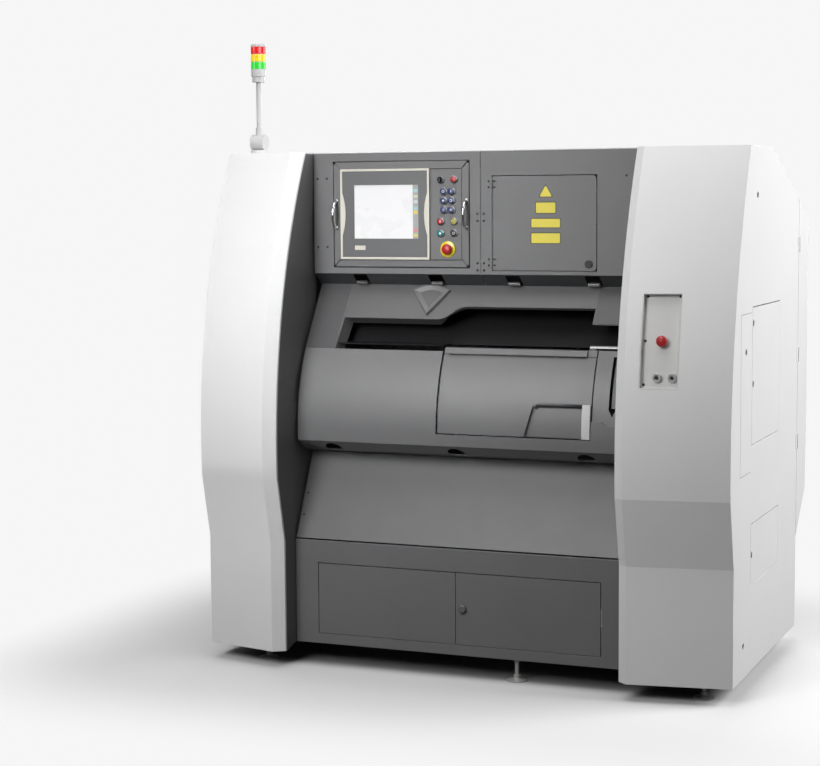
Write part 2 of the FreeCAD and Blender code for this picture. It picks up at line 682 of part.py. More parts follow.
def hood_drum():
    """The round belly under the window: skin, keel, and the stepped strip beside the door."""
    left, right = "header_left", "header_right"
    front, rear = "axis_y - drum_radius - 1", "axis_y - drum_radius / 2"
    skin = ring("drum_radius", "drum_radius - drum_sheet", left, right, front, rear,
                "drum_bottom", "header_foot - running_gap")
    skin = cut(skin, box("door_left - door_gap", f"{right} + 1", front, rear,
                         "door_bottom - door_gap", "header_foot"))
    keel_y, foot_y = "(front_line + drum_keel_back)", "(front_line + slant_panel_top_back)"
    lip = "(axis_y - sqrt(drum_radius^2 - (axis_z - drum_bottom)^2))"
    keel = prism("x", [(lip, "drum_bottom"), (keel_y, "drum_keel"),
                       (foot_y, "slant_panel_top + running_gap"),
                       (foot_y, "slant_panel_top + running_gap + drum_sheet"),
                       (keel_y, "drum_keel + drum_sheet"),
                       (f"{lip} + drum_sheet", "drum_bottom + 2")], left, right)
    notches = [rod("z", (f"seam_x + notch_{index}", f"{keel_y} - 8"), "pull_notch_radius",
                   "drum_keel - 40", "drum_bottom - 2") for index in range(1, NOTCHES + 1)]
    strip_left = "door_right + door_gap"
    strip = ring("strip_radius", "strip_radius - drum_sheet", strip_left, right, front, rear,
                 "door_bottom - door_gap", "rail_top")
    ledge = ring("drum_radius", "strip_radius - drum_sheet", strip_left, right, front, rear,
                 "drum_bottom + 10", "strip_step")
    ledge = cut(ledge, rod("y", (f"({strip_left} + {right}) / 2", "strip_step + 20"),
                           "0.36 * latch_width + 20", front, rear))
    slot0 = "(door_right + slot_inset)"
    slot = prism("y", [(slot0, "slot_top"), (slot0, "slot_bottom + slot_width"),
                       (f"{slot0} + slot_width / 2", "slot_bottom"),
                       (f"{slot0} + slot_width", "slot_bottom + slot_width"),
                       (f"{slot0} + slot_width", "slot_top")], front, rear)
    node("hood_drum", cut(fuse(skin, keel, ledge, strip), slot, *notches))


def window_tray():
    """The dark well behind the window: a rolled liner, a ledge and the left end wall."""
    left, right = "bay_left + window_inset - panel_sheet", "header_right"
    front, rear = "axis_y - liner_radius", "axis_y"
    liner = ring("liner_radius", "liner_radius - 4", left, right, front, rear,
                 "liner_bottom", "liner_top")
    low = "(axis_y - sqrt(liner_radius^2 - (axis_z - liner_bottom)^2))"
    high = "(axis_y - sqrt(liner_radius^2 - (axis_z - window_top)^2))"
    ledge_front = header_at("liner_bottom", "header_sheet + 3")
    ledge = box(left, "door_left - door_gap - 4", ledge_front, f"{low} + 2",
                "liner_bottom", "liner_bottom + 4")
    wall = prism("x", [(ledge_front, "liner_bottom"), (f"{low} + 2", "liner_bottom"),
                       (f"{high} + 2", "window_top"),
                       (header_at("window_top", "header_sheet + 3"), "window_top")],
                 left, f"{left} + panel_sheet")
    node("window_tray", fuse(liner, ledge, wall))


def lower_panels():
    y0, y1 = "front_line + slant_panel_foot_back", "front_line + slant_panel_top_back"
    slab = [(y0, "slant_panel_foot"), (y1, "slant_panel_top"),
            (f"{y1} + panel_sheet", "slant_panel_top"), (f"{y0} + panel_sheet",
                                                         "slant_panel_foot")]
    node("slanted_panel", prism("x", slab, "bay_left", "bay_right"))
    hole = (f"{lower_door_edges()[0]} - door_gap", f"{lower_door_edges()[3]} + door_gap",
            "lower_door_bottom - door_gap", "lower_door_top + door_gap")
    face = plate_with_hole("bay_left", "bay_right", "frame_bottom", "lower_fascia_top", hole,
                           "lower_fascia_y", "lower_fascia_y + panel_sheet")
    shelf = box("bay_left", "bay_right", "lower_fascia_y", y0 + " + panel_sheet",
                "lower_fascia_top - panel_sheet", "lower_fascia_top")
    node("lower_fascia", fuse(face, shelf, folded_lips(hole, "lower_fascia_y")))


def lower_door_edges():
    return ("(bay_middle - lower_door_width - door_gap / 2)", "(bay_middle - door_gap / 2)",
            "(bay_middle + door_gap / 2)", "(bay_middle + lower_door_width + door_gap / 2)")


def panel_screws():
    """Dome heads on the fascias, the slanted panel and the niche's rim."""
    head = [("0", "0"), ("screw_head", "0"), ("0.8 * screw_head", "0.4 * screw_head"),
            ("0", "0.55 * screw_head")]
    pieces = [turned("front", x, "fascia_y", z, head)
              for x in ("seam_x - 14", "seam_x + 12")
              for z in ("fascia_bottom + 16", "fascia_bottom + 43",
                        "fascia_bottom + 204", "fascia_bottom + 231")]
    pieces += [turned("front", x, "fascia_y", z, head)
               for x in ("bay_left + 17", "bay_left + 57")
               for z in ("fascia_bottom + 103", "fascia_bottom + 370")]
    pieces.append(turned("front", "bay_right - 64", "fascia_y", "fascia_bottom + 370", head))
    for x, z in (("niche_x0 + 12", "niche_bottom + niche_height - 12"),
                 ("niche_x1 - 12", "niche_bottom + niche_height - 12"),
                 ("niche_x0 + 12", "niche_bottom + niche_height / 2"),
                 ("niche_x0 + 12", "niche_bottom + 14")):
        pieces.append(turned("front", x, f"{niche_floor_y(x, z)} - niche_screw_seat", z, head))
    node("panel_screws", together(*pieces))


# --------------------------------------------------------------------------- chamber door
def chamber_door():
    front, rear = "axis_y - drum_radius - 20", "axis_y - drum_radius / 2"
    inner = "door_radius - door_thick"
    leaf = ring("door_radius", inner, "door_left", "door_right", front, rear,
                "door_bottom", "rail_top")
    rail = ring("drum_radius", inner, "door_left + rail_inset",
                "door_right - rail_right_inset", front, rear, "rail_bottom", "rail_top")
    groove = ring("door_radius + 1", "door_radius - 4", "door_left - 1", "door_right + 1",
                  front, rear, "door_top", "rail_bottom")
    grip_left = "(door_right - grip_width)"
    pocket_left = f"({grip_left} - pocket_width)"
    bend = "20"
    pocket = prism("y", [(pocket_left, "door_bottom - 1"),
                         (f"{pocket_left} + 26", "door_bottom + 95"),
                         (f"{pocket_left} + 50", "grip_top", "right", "1.9 * " + bend),
                         (f"{grip_left} - 1", "grip_top"),
                         (f"{grip_left} - 1", "door_bottom - 1")], front, rear)
    dip = common(ring("door_radius + 1", "door_radius - pocket_depth", "door_left",
                      "door_right", front, rear, "door_bottom - 1", "rail_bottom"), pocket)
    node("chamber_door", cut(fuse(leaf, rail), groove, dip))
    bar = ring("door_radius + grip_proud", "door_radius", f"{grip_left}", "door_right",
               front, rear, "door_bottom", "grip_top")
    node("door_handle", bar)


def door_arm():
    """Two arms that hang the door on its pivots, and the tie rod at its right end."""
    inner = "door_radius - door_thick"
    pieces = []
    for x0, x1 in (("chamber_left - 6 - arm_thick", "chamber_left - 6"),
                   ("chamber_right + 6", "chamber_right + 6 + arm_thick")):
        bar = ring(inner, "pivot_radius + pivot_clearance", x0, x1, f"axis_y - {inner}",
                   "axis_y", "door_bottom + 4", "door_bottom + 36")
        hub = cut(rod("x", ("axis_y", "axis_z"), "2.4 * pivot_radius", x0, x1),
                  rod("x", ("axis_y", "axis_z"), "pivot_radius + pivot_clearance",
                      f"{x0} - 1", f"{x1} + 1"))
        pieces.append(fuse(bar, hub))
    rod_y = "(axis_y - sqrt(rod_orbit^2 - (rod_height - axis_z)^2))"
    slot0 = "(door_right + slot_inset)"
    tie = rod("x", (rod_y, "rod_height"), "rod_radius", "door_right - 40", f"{slot0} + 8")
    lug = common(box("door_right - 40", "door_right - 16", f"{rod_y} - 40", f"{rod_y} + 4",
                     "rail_top - 20", "rod_height"),
                 rod("x", ("axis_y", "axis_z"), inner, "door_right - 60", "door_right"))
    web = ring("door_radius - door_thick - 1", "rod_orbit - 30", f"{slot0} + 6", f"{slot0} + 22",
               "axis_y - drum_radius", "axis_y", "slot_bottom + 30", "rod_height")
    pieces.append(fuse(tie, lug, web))
    node("door_arm", together(*pieces))


# --------------------------------------------------------------------------- inside
def build_well():
    """A square well under the bed opening, and the guide that the ram runs in."""
    wall, low = "bed_wall", "bed_bottom"
    well = cut(box(f"bed_left - {wall}", f"bed_right + {wall}", f"bed_front - {wall}",
                   f"bed_rear + {wall}", low, "chamber_base"),
               box("bed_left", "bed_right", "bed_front", "bed_rear", f"{low} + {wall}",
                   "chamber_base + 1"))
    middle = ("(bed_left + bed_right) / 2", "(bed_front + bed_rear) / 2")
    guide = rod("z", middle, "ram_radius + 14", f"{low} - 120", low)
    bore = rod("z", middle, "ram_radius + running_gap", f"{low} - 121", f"{low} + {wall} + 1")
    return cut(fuse(well, guide), bore)


def process_chamber():
    """Welded box, open to the door, with the build well under it and a laser window."""
    sheet_in = "chamber_sheet"
    walls = cut(box("chamber_left", "chamber_right", "chamber_front", "chamber_rear",
                    "chamber_base", "chamber_top"),
                box(f"chamber_left + {sheet_in}", f"chamber_right - {sheet_in}",
                    "chamber_front - 1", f"chamber_rear - {sheet_in}", "work_plane",
                    f"chamber_top - {sheet_in}"),
                box("bed_left", "bed_right", "bed_front", "bed_rear", "chamber_base - 1",
                    "work_plane + 1"),
                rod("z", ("(bed_left + bed_right) / 2", "(bed_front + bed_rear) / 2"),
                    "lens_radius", "chamber_top - 30", "chamber_top + 1"))
    pins = [rod("x", ("axis_y", "axis_z"), "pivot_radius", x0, x1)
            for x0, x1 in (("chamber_left - 8 - arm_thick", "chamber_left + 2"),
                           ("chamber_right - 2", "chamber_right + 8 + arm_thick"))]
    bosses = [rod("x", ("axis_y", "axis_z"), "2 * pivot_radius", x0, x1)
              for x0, x1 in (("chamber_left - 5", "chamber_left + 2"),
                             ("chamber_right - 2", "chamber_right + 5"))]
    rails = [rod("x", (y, "work_plane + 45"), "rail_radius", f"chamber_left + {sheet_in} - 2",
                 f"chamber_right - {sheet_in} + 2") for y in recoater_rails()]
    node("process_chamber", fuse(walls, *pins, *bosses, *rails, build_well()))


def recoater_rails():
    return "(bed_front - 60)", "(bed_rear + 60)"


def build_platform():
    """The bed plate and its ram, at the height of the first layer."""
    gap = "running_gap"
    top = "work_plane - 1"
    plate = box(f"bed_left + {gap}", f"bed_right - {gap}", f"bed_front + {gap}",
                f"bed_rear - {gap}", f"{top} - platform_thick", top)
    ram = rod("z", ("(bed_left + bed_right) / 2", "(bed_front + bed_rear) / 2"), "ram_radius",
              f"{top} - platform_thick - ram_length", f"{top} - platform_thick")
    node("build_platform", fuse(plate, ram))


def recoater():
    """A carriage on two rails, with the roller that spreads and compacts the powder."""
    x0 = "(chamber_left + chamber_sheet + 12)"
    x1, middle = f"({x0} + 2 * roller_radius + 10)", f"({x0} + roller_radius + 5)"
    front, rear = recoater_rails()
    axle_z = "work_plane + roller_radius + 0.2"
    ends = []
    for rail, inward, outward in ((front, "20", "14"), (rear, "14", "20")):
        block = box(x0, x1, f"{rail} - {outward}", f"{rail} + {inward}",
                    "work_plane + 18", "work_plane + 96")
        ends.append(block)
    bridge = box(x0, x1, f"{front} - 14", f"{rear} + 14", "work_plane + 84", "work_plane + 96")
    bores = [rod("x", (rail, "work_plane + 45"), "rail_radius + running_gap", f"{x0} - 1",
                 f"{x1} + 1") for rail in (front, rear)]
    axle = rod("y", (middle, axle_z), "5 + hinge_clearance", f"{front} + 8", f"{rear} - 8")
    node("recoater_carriage", cut(fuse(*ends, bridge), axle, *bores))
    roller = rod("y", (middle, axle_z), "roller_radius", f"{front} + 20.5", f"{rear} - 20.5")
    spindle = rod("y", (middle, axle_z), "5", f"{front} + 9", f"{rear} - 9")
    node("layering_roller", fuse(roller, spindle))


def laser_optics():
    """The laser source on its deck and the scan head hung over the chamber's window."""
    x = "((bed_left + bed_right) / 2)"
    y = "((bed_front + bed_rear) / 2)"
    source = box(f"{x} - laser_width / 2", f"{x} + laser_width / 2",
                 "front_line + deck_beam_back", "front_line + deck_beam_back + laser_length",
                 "deck_beam_top", "deck_beam_top + laser_height")
    column = rod("z", (x, y), "0.6 * lens_radius", "deck_beam_top - tube", "deck_beam_top")
    head = box(f"{x} - scan_size / 2", f"{x} + scan_size / 2", f"{y} - scan_size / 2",
               f"{y} + scan_size / 2", "deck_beam_top - tube - scan_height",
               "deck_beam_top - tube")
    tube_ring = rod("z", (x, y), "lens_radius - 6", "chamber_top + 6",
                    "deck_beam_top - tube - scan_height")
    window = rod("z", (x, y), "lens_radius + 12", "chamber_top", "chamber_top + 6")
    node("laser_optics", fuse(source, column, head, tube_ring, window))


# --------------------------------------------------------------------------- operator console
def console():
    """A swing-out frame that carries the touch screen and the key plate."""
    face = "(console_face - 2)"
    back = "(console_face + console_thick)"
    x0, x1 = "(console_x0 + console_gap)", "(console_x1 - console_gap)"
    z0, z1 = "(console_bottom + console_gap)", "(console_top - console_gap)"
    hole = (f"{x0} + frame_bar", f"{x1} - frame_bar + 3", f"{z0} + frame_bar",
             f"{z1} - frame_bar + 3")
    frame = plate_with_hole(x0, x1, z0, z1, hole, face, back)
    corners = [box(x, f"{x} + 8", f"{face} - 1", f"{back} + 1", z, f"{z} + 8")
               for x in (x0, f"({x1} - 8)") for z in (z0, f"({z1} - 8)")]
    bores = pivot_bores(console_pivot(), z0, z1)
    node("console_frame", cut(frame, *corners, *bores))

    low = f"({hole[2]} + running_gap)"
    high = f"({low} + screen_bezel_height)"
    rim_face = f"({face} - bezel_proud)"
    bezel = box("bezel_x0", "bezel_x1", rim_face, back, low, high)
    swell = "((grip_bulge^2 + grip_bulge_height^2 / 4) / (2 * grip_bulge))"
    middle = f"(({low} + {high}) / 2)"
    left_in, right_in = "(bezel_x0 + bezel_rim)", "(bezel_x1 - bezel_rim)"
    field = [(left_in, f"{low} + bezel_rim"), (right_in, f"{low} + bezel_rim"),
             (right_in, f"{middle} - grip_bulge_height / 2"),
             (right_in, f"{middle} + grip_bulge_height / 2", "right", swell),
             (right_in, f"{high} - bezel_rim"), (left_in, f"{high} - bezel_rim"),
             (left_in, f"{middle} + grip_bulge_height / 2"),
             (left_in, f"{middle} - grip_bulge_height / 2", "right", swell)]
    recess = prism("y", field, f"{rim_face} - 1", f"{rim_face} + 4")
    glass_x0, glass_z0 = f"({left_in} + screen_left_inset)", f"({low} + screen_bottom_inset)"
    glass = (glass_x0, f"{glass_x0} + screen_width", glass_z0, f"{glass_z0} + screen_height")
    seat = box(glass[0], glass[1], f"{rim_face} - 1", f"{rim_face} + 8", glass[2], glass[3])
    node("hmi_bezel", cut(bezel, recess, seat))
    node("hmi_screen", box(glass[0], glass[1], f"{rim_face} + 5", f"{rim_face} + 8",
                           glass[2], glass[3]))

    plate = box("bezel_x1 + 2", f"{hole[1]}", face, f"{face} + 6", hole[2], hole[3])
    rings, bores = [], []
    for x, z in key_places():
        shell = rod("y", (x, z), "button_radius", f"{face} - 4", face)
        rings.append(shell)
        bores.append(rod("y", (x, z), "button_stem + running_gap", f"{face} - 5", f"{face} + 7"))
    stop = stop_place()
    rings.append(rod("y", stop, "stop_disc", f"{face} - 2", face))
    bores.append(rod("y", stop, "stop_stem + running_gap", f"{face} - 3", f"{face} + 7"))
    node("keypad_plate", cut(fuse(plate, *rings), *bores))

    grips = []
    for x in ("(console_x0 + 14)", "(console_x1 - 14)"):
        half_grip = "handle_height / 2"
        out, inn = "handle_proud", "(handle_proud - handle_bar)"
        big = f"((({half_grip})^2 + {out}^2) / (2 * {out}))"
        small = f"((({half_grip} - handle_bar)^2 + {inn}^2) / (2 * {inn}))"
        bow = [(face, f"handle_middle + {half_grip}"), (face, f"handle_middle - {half_grip}",
                                                        "left", big),
               (face, f"handle_middle - {half_grip} + handle_bar"),
               (face, f"handle_middle + {half_grip} - handle_bar", "right", small)]
        grips.append(prism("x", bow, f"{x} - 6", f"{x} + 6"))
    node("console_handles", together(*grips))


def key_rows():
    """Name, place from the seam and height of every push-button, top row first."""
    yield "selector_switch", "key_left", "key_row_top"
    yield "red_button_top", "key_right", "key_row_top"
    for row in range(3):
        height = f"(blue_row_top - {row} * blue_pitch)"
        yield f"blue_button_{2 * row + 1}", "blue_left", height
        yield f"blue_button_{2 * row + 2}", "blue_right", height
    yield "red_button_low", "key_left", "key_row_low"
    yield "yellow_button", "key_right", "key_row_low"
    yield "teal_button", "key_left", "key_row_base"
    yield "black_button", "key_right", "key_row_base"


def key_places():
    return [(f"(seam_x - {across})", height) for _, across, height in key_rows()]


def stop_place():
    return "(seam_x - stop_across)", "stop_height"


def mushroom(cap, stem, rise, depth):
    """The outline of an emergency-stop button: stem, flared skirt and domed cap."""
    return [("0", f"-({depth})"), (stem, f"-({depth})"), (stem, rise), (f"0.92 * {cap}", rise),
            (cap, f"{rise} + 3"), (cap, f"{rise} + 8"), (f"0.9 * {cap}", f"{rise} + 12"),
            (f"0.6 * {cap}", f"{rise} + 14.5"), ("0", f"{rise} + 15.5")]


def console_buttons():
    face = "console_face - 2"
    for (name, across, height), (x, z) in zip(key_rows(), key_places()):
        if name == "selector_switch":
            body = turned("front", x, face, z, [("0", "-8"), ("button_stem", "-8"),
                                                ("button_stem", "9"), ("0", "9")])
            grip = box(f"{x} - 3.5", f"{x} + 3.5", f"{face} - 18", f"{face} - 8",
                       f"{z} - 10", f"{z} + 10")
            node(name, fuse(body, grip))
            continue
        cap = [("0", "-8"), ("button_stem", "-8"), ("button_stem", "button_cap + 1"),
               ("button_stem - 1.5", "button_cap + 2.5"), ("0", "button_cap + 3")]
        node(name, turned("front", x, face, z, cap))
    x, z = stop_place()
    node("console_stop", turned("front", x, face, z, mushroom("stop_cap", "stop_stem", "10", "8")))
    x, z, _ = niche_stop()
    node("column_stop", turned("front", x, niche_floor_y(x, z), z,
                               mushroom("stop_cap", "stop_stem", "12", "8")))


def turn_lock(x, y, z, radius, stem, depth):
    """A flush quarter-turn lock with a raised triangular drive."""
    body = turned("front", x, y, z, [("0", f"-({depth})"), (stem, f"-({depth})"), (stem, "6"),
                                     (radius, "6"), (radius, "9"), (f"0.85 * {radius}", "10.5"),
                                     ("0", "10.5")])
    side = f"(0.4 * {radius})"
    drive = prism("y", [(f"{x} - {side}", f"{z} - 0.6 * {side}"),
                        (f"{x} + {side}", f"{z} - 0.6 * {side}"), (x, f"{z} + {side}")],
                  f"{y} - 13", f"{y} - 10")
    return fuse(body, drive)


def column_locks():
    for name, (x, z, stem) in zip(("column_lock_left", "column_lock_right"), niche_locks()):
        node(name, turn_lock(x, niche_floor_y(x, z), z, "lock_radius", stem, "8"))


# --------------------------------------------------------------------------- doors
def rounded(x0, x1, z0, z1, radius):
    """A rectangle whose right-hand corners are round."""
    return [(x0, z0), (f"{x1} - {radius}", z0), (x1, f"{z0} + {radius}", "left", radius),
            (x1, f"{z1} - {radius}"), (f"{x1} - {radius}", z1, "left", radius), (x0, z1)]


def pivot_bores(axis, z0, z1, pin="pivot_pin"):
    """Bores for the two pins that a door turns on, in its lower and upper edge."""
    radius = f"{pin} + hinge_clearance"
    return (rod("z", axis, radius, f"{z0} - 1", f"{z0} + pivot_reach + 1"),
            rod("z", axis, radius, f"{z1} - pivot_reach - 1", f"{z1} + 1"))


def pivot_pins(axis, z0, z1, pin="pivot_pin"):
    """The two pins themselves, standing on the edges of the opening round the door."""
    return [rod("z", axis, pin, f"{z0} - door_gap", f"{z0} + pivot_reach"),
            rod("z", axis, pin, f"{z1} - pivot_reach", f"{z1} + door_gap")]


def console_pivot():
    return "(console_x0 + console_gap + pivot_inset)", "(console_face + 5)"


def lower_pivots():
    """Pivot place of the left and of the right lower door."""
    edges, y = lower_door_edges(), "(lower_fascia_y + 5)"
    return (f"({edges[0]} + pivot_inset)", y), (f"({edges[3]} - pivot_inset)", y)


def side_pivot(rear_edge):
    return "(half - cover_sheet / 2)", f"({rear_edge} - pivot_inset)"


def span(facing, x, y, along, proud, z0, z1):
    """A block beside a hinge axis line: along the surface, then out from it."""
    if facing == "front":
        return box(f"{x} + {along[0]}", f"{x} + {along[1]}", f"{y} - ({proud[1]})",
                   f"{y} - ({proud[0]})", z0, z1)
    y0, y1 = f"{y} + {along[0]}", f"{y} + {along[1]}"
    if facing == "right":
        return box(f"{x} + {proud[0]}", f"{x} + {proud[1]}", y0, y1, z0, z1)
    return box(f"{x} - ({proud[1]})", f"{x} - ({proud[0]})", y0, y1, z0, z1)


def leaf_hinge(facing, x, y, middle, height):
    """A surface hinge whose axis stands just proud of the surface: fixed half, moving half."""
    proud = "(barrel_radius + running_gap)"
    axis = {"front": (x, f"({y} - {proud})"), "right": (f"({x} + {proud})", y),
            "left": (f"({x} - {proud})", y)}[facing]
    z0, z1, third = f"({middle} - {height} / 2)", f"({middle} + {height} / 2)", f"({height} / 3)"
    low, high = f"({z0} + {third})", f"({z1} - {third})"
    clear = "(barrel_radius + 0.6)"
    fixed = [span(facing, x, y, (f"-{clear} - leaf_width", f"-{clear}"), ("0", "leaf_thick"),
                  z0, z1),
             rod("z", axis, "hinge_pin", z0, z1)]
    for ends in ((z0, low), (high, z1)):
        fixed.append(rod("z", axis, "barrel_radius", *ends))
        fixed.append(span(facing, x, y, (f"-{clear}", "0"), ("running_gap", "leaf_thick"), *ends))
    leaf = span(facing, x, y, (clear, f"{clear} + leaf_width"), ("0", "leaf_thick"), z0, z1)
    gap = "running_gap"
    barrel = rod("z", axis, "barrel_radius", f"{low} + {gap}", f"{high} - {gap}")
    web = span(facing, x, y, ("0", clear), (gap, "leaf_thick"), f"{low} + {gap}",
               f"{high} - {gap}")
    bore = rod("z", axis, "hinge_pin + hinge_clearance", z0, z1)
    return fuse(*fixed), cut(fuse(leaf, barrel, web), bore)


def laser_hinges():
    x = "(laser_x0 - door_gap / 2)"
    return [leaf_hinge("front", x, "fascia_y", z, "leaf_height")
            for z in ("(laser_door_bottom + 30)", "(laser_z1 - 30)")]


def rear_hinges(side):
    x = "half" if side == "right" else "(0 - half)"
    return [leaf_hinge(side, x, "(rear_wall + door_gap / 2)", f"(rear_hinge_{index})",
                       "tall_leaf_height") for index in range(1, REAR_HINGES + 1)]


def doors():
    laser_halves = laser_hinges()
    leaf = prism("y", rounded("laser_x0", "laser_x1", "laser_door_bottom", "laser_z1",
                              "laser_door_corner"), "fascia_y", "fascia_y + panel_sheet")
    lock = ("laser_x1 - laser_lock_inset", "laser_lock_height")
    lock_bore = rod("y", lock, "0.6 * laser_lock_radius + hinge_clearance", "fascia_y - 5",
                    "fascia_y + 10")
    node("laser_door", cut(fuse(leaf, *[moving for _, moving in laser_halves]), lock_bore))
    node("laser_door_lock", turn_lock(lock[0], "fascia_y + 5", lock[1], "laser_lock_radius",
                                      "0.6 * laser_lock_radius", "8"))
    fixed = [half for half, _ in laser_halves]

    edges = lower_door_edges()
    knob = (f"({edges[2]} + door_knob_inset)", "door_knob_height")
    for name, x0, x1, pivot in (("lower_door_left", edges[0], edges[1], lower_pivots()[0]),
                                ("lower_door_right", edges[2], edges[3], lower_pivots()[1])):
        face, back = "lower_fascia_y", "lower_fascia_y + door_fold"
        wall = "panel_sheet"
        pan = cut(box(x0, x1, face, back, "lower_door_bottom", "lower_door_top"),
                  box(f"{x0} + {wall}", f"{x1} - {wall}", f"{face} + {wall}", f"{back} + 1",
                      f"lower_door_bottom + {wall}", f"lower_door_top - {wall}"))
        heel = ((f"{x0} - 1", pivot[0]) if pivot[0].startswith(f"({x0}")
                else (pivot[0], f"{x1} + 1"))
        relief = box(*heel, f"{back} - heel_relief", f"{back} + 1",
                     "lower_door_bottom - 1", "lower_door_top + 1")
        bores = [relief, *pivot_bores(pivot, "lower_door_bottom", "lower_door_top")]
        if name == "lower_door_right":
            bores.append(rod("y", knob, "0.4 * door_knob_radius + hinge_clearance",
                             f"{face} - 1", f"{face} + 9"))
        node(name, cut(pan, *bores))
        fixed += pivot_pins(pivot, "lower_door_bottom", "lower_door_top")
    grip = [("0", "-8"), ("0.4 * door_knob_radius", "-8"), ("0.4 * door_knob_radius", "2"),
            ("door_knob_radius", "2"), ("door_knob_radius", "9"),
            ("0.8 * door_knob_radius", "12"), ("0", "12")]
    node("lower_door_knob", turned("front", knob[0], "lower_fascia_y", knob[1], grip))

    for name, (y0, y1, z0, z1) in zip(("side_door_upper", "side_door_lower"),
                                      side_door_openings()):
        axis = side_pivot(f"({y1})")
        bores = pivot_bores(axis, z0, z1, "side_pivot_pin")
        node(name, cut(box("inner_half", "half", y0, y1, z0, z1), *bores))
        fixed += pivot_pins(axis, z0, z1, "side_pivot_pin")

    for side in ("left", "right"):
        halves = rear_hinges(side)
        fixed += [half for half, _ in halves]
        node(f"rear_door_{side}", fuse(rear_shell(side), *[moving for _, moving in halves]))
    fixed += pivot_pins(console_pivot(), "(console_bottom + console_gap)",
                        "(console_top - console_gap)")
    node("door_hinges", together(*fixed))


def rear_shell(side):
    """A deep pan that bulges behind the rear wall, open to the front."""
    x0, x1 = ("door_gap / 2", "half") if side == "right" else ("-half", "-door_gap / 2")
    front, wall = "(rear_wall + door_gap)", "cover_sheet"
    belly = "(rear_door_bottom + rear_chamfer)"
    top = f"{roof_at('(back - rear_lean)')}"

    def section(inset):
        return [(f"{front} - {inset} * 2", f"rear_door_bottom + {inset}"),
                (f"rear_wall + {inset} * 0.6", f"rear_door_bottom + {inset}"),
                (f"back - rear_belly_lean - {inset}", f"{belly} + {inset} * 0.4"),
                (f"back - {inset}", "rear_belly_height"),
                (f"back - rear_lean - {inset}", f"{top} - {inset} * 0.7"),
                (f"{front} - {inset} * 2", f"{roof_at(front)} - {inset} * 1.1")]

    outer = section("0")
    outer[1] = (front + " + 1", "rear_door_bottom")
    return cut(prism("x", outer, x0, x1),
               prism("x", section(wall), f"{x0} + {wall}", f"{x1} - {wall}"))


# --------------------------------------------------------------------------- signal tower
def signal_tower():
    x, y, z = "tower_x", "tower_y", "knuckle_z"
    half_length = "knuckle_length"
    inner = f"({half_length} - cheek_thick)"
    foot = rod("z", (x, y), "tower_foot_radius", "cabinet_height",
               "cabinet_height + tower_foot_height")
    block = box(f"{x} - {half_length}", f"{x} + {half_length}", f"{y} - 14", f"{y} + 14",
                "cabinet_height + tower_foot_height", z)
    cheeks = [rod("x", (y, z), "knuckle_radius", f"{x} - {half_length}", f"{x} - {inner}"),
              rod("x", (y, z), "knuckle_radius", f"{x} + {inner}", f"{x} + {half_length}")]
    room = rod("x", (y, z), "knuckle_radius + 1", f"{x} - {inner}", f"{x} + {inner}")
    pin = rod("x", (y, z), "0.6 * pole_radius", f"{x} - {half_length}", f"{x} + {half_length}")
    node("tower_bracket", fuse(cut(fuse(foot, block, *cheeks), room), pin))

    gap = "running_gap"
    drum = rod("x", (y, z), "knuckle_radius - 1", f"{x} - {inner} + {gap}",
               f"{x} + {inner} - {gap}")
    bore = rod("x", (y, z), "0.6 * pole_radius + hinge_clearance", f"{x} - {inner}",
               f"{x} + {inner}")
    core = "(0.6 * pole_radius)"
    lamp_step = "(lamp_height + lamp_gap)"
    top = f"(lamp_floor + 3 * {lamp_step} - lamp_gap)"
    mast = [("0", f"{z} + 20"), ("1.4 * pole_radius", f"{z} + 20"),
            ("1.4 * pole_radius", f"{z} + 2 * knuckle_radius - 3"),
            ("pole_radius", f"{z} + 2 * knuckle_radius - 3"), ("pole_radius", "pole_top"),
            ("lamp_base_radius", "pole_top"), ("lamp_base_radius", "pole_top + 22"),
            ("lamp_radius - 0.5", "pole_top + 22"), ("lamp_radius - 0.5", "lamp_floor"),
            (core, "lamp_floor")]
    for index in (1, 2):
        low = f"lamp_floor + {index} * {lamp_step} - lamp_gap"
        mast += [(core, low), ("lamp_radius - 2", low), ("lamp_radius - 2", f"{low} + lamp_gap"),
                 (core, f"{low} + lamp_gap")]
    mast += [(core, top), ("lamp_radius", top), ("lamp_radius", f"{top} + lamp_cap - 4"),
             ("lamp_radius - 5", f"{top} + lamp_cap"), ("0", f"{top} + lamp_cap")]
    node("tower_pole", cut(fuse(drum, turned("up", x, y, 0, mast)), bore))
    for index, colour in enumerate(("green", "amber", "red")):
        low = f"(lamp_floor + {index} * {lamp_step})"
        lamp = cut(rod("z", (x, y), "lamp_radius", low, f"{low} + lamp_height"),
                   rod("z", (x, y), core, f"{low} - 1", f"{low} + lamp_height + 1"))
        node(f"lamp_{colour}", lamp)


# --------------------------------------------------------------------------- the whole machine
def build():
    base_frame()
    leveling_feet()
    niche_hole = box("niche_x0 - running_gap", "niche_x1 + running_gap",
                     "front_line - bevel_depth - belly_proud - 1",
                     "front_line + right_setback + cover_sheet + 60",
                     "niche_bottom - running_gap", "niche_bottom + niche_height + running_gap")
    node("left_front_cover", column_cover("left"))
    node("right_front_cover", cut(column_cover("right"), niche_hole))
    right_niche()
    body_panels()
    top_cover()
    cheek_panels()
    upper_fascia()
    hood_latches()
    hood_header()
    hood_drum()
    window_tray()
    lower_panels()
    panel_screws()
    chamber_door()
    door_arm()
    process_chamber()
    build_platform()
    recoater()
    laser_optics()
    console()
    console_buttons()
    column_locks()
    doors()
    signal_tower()
    doc.recompute()


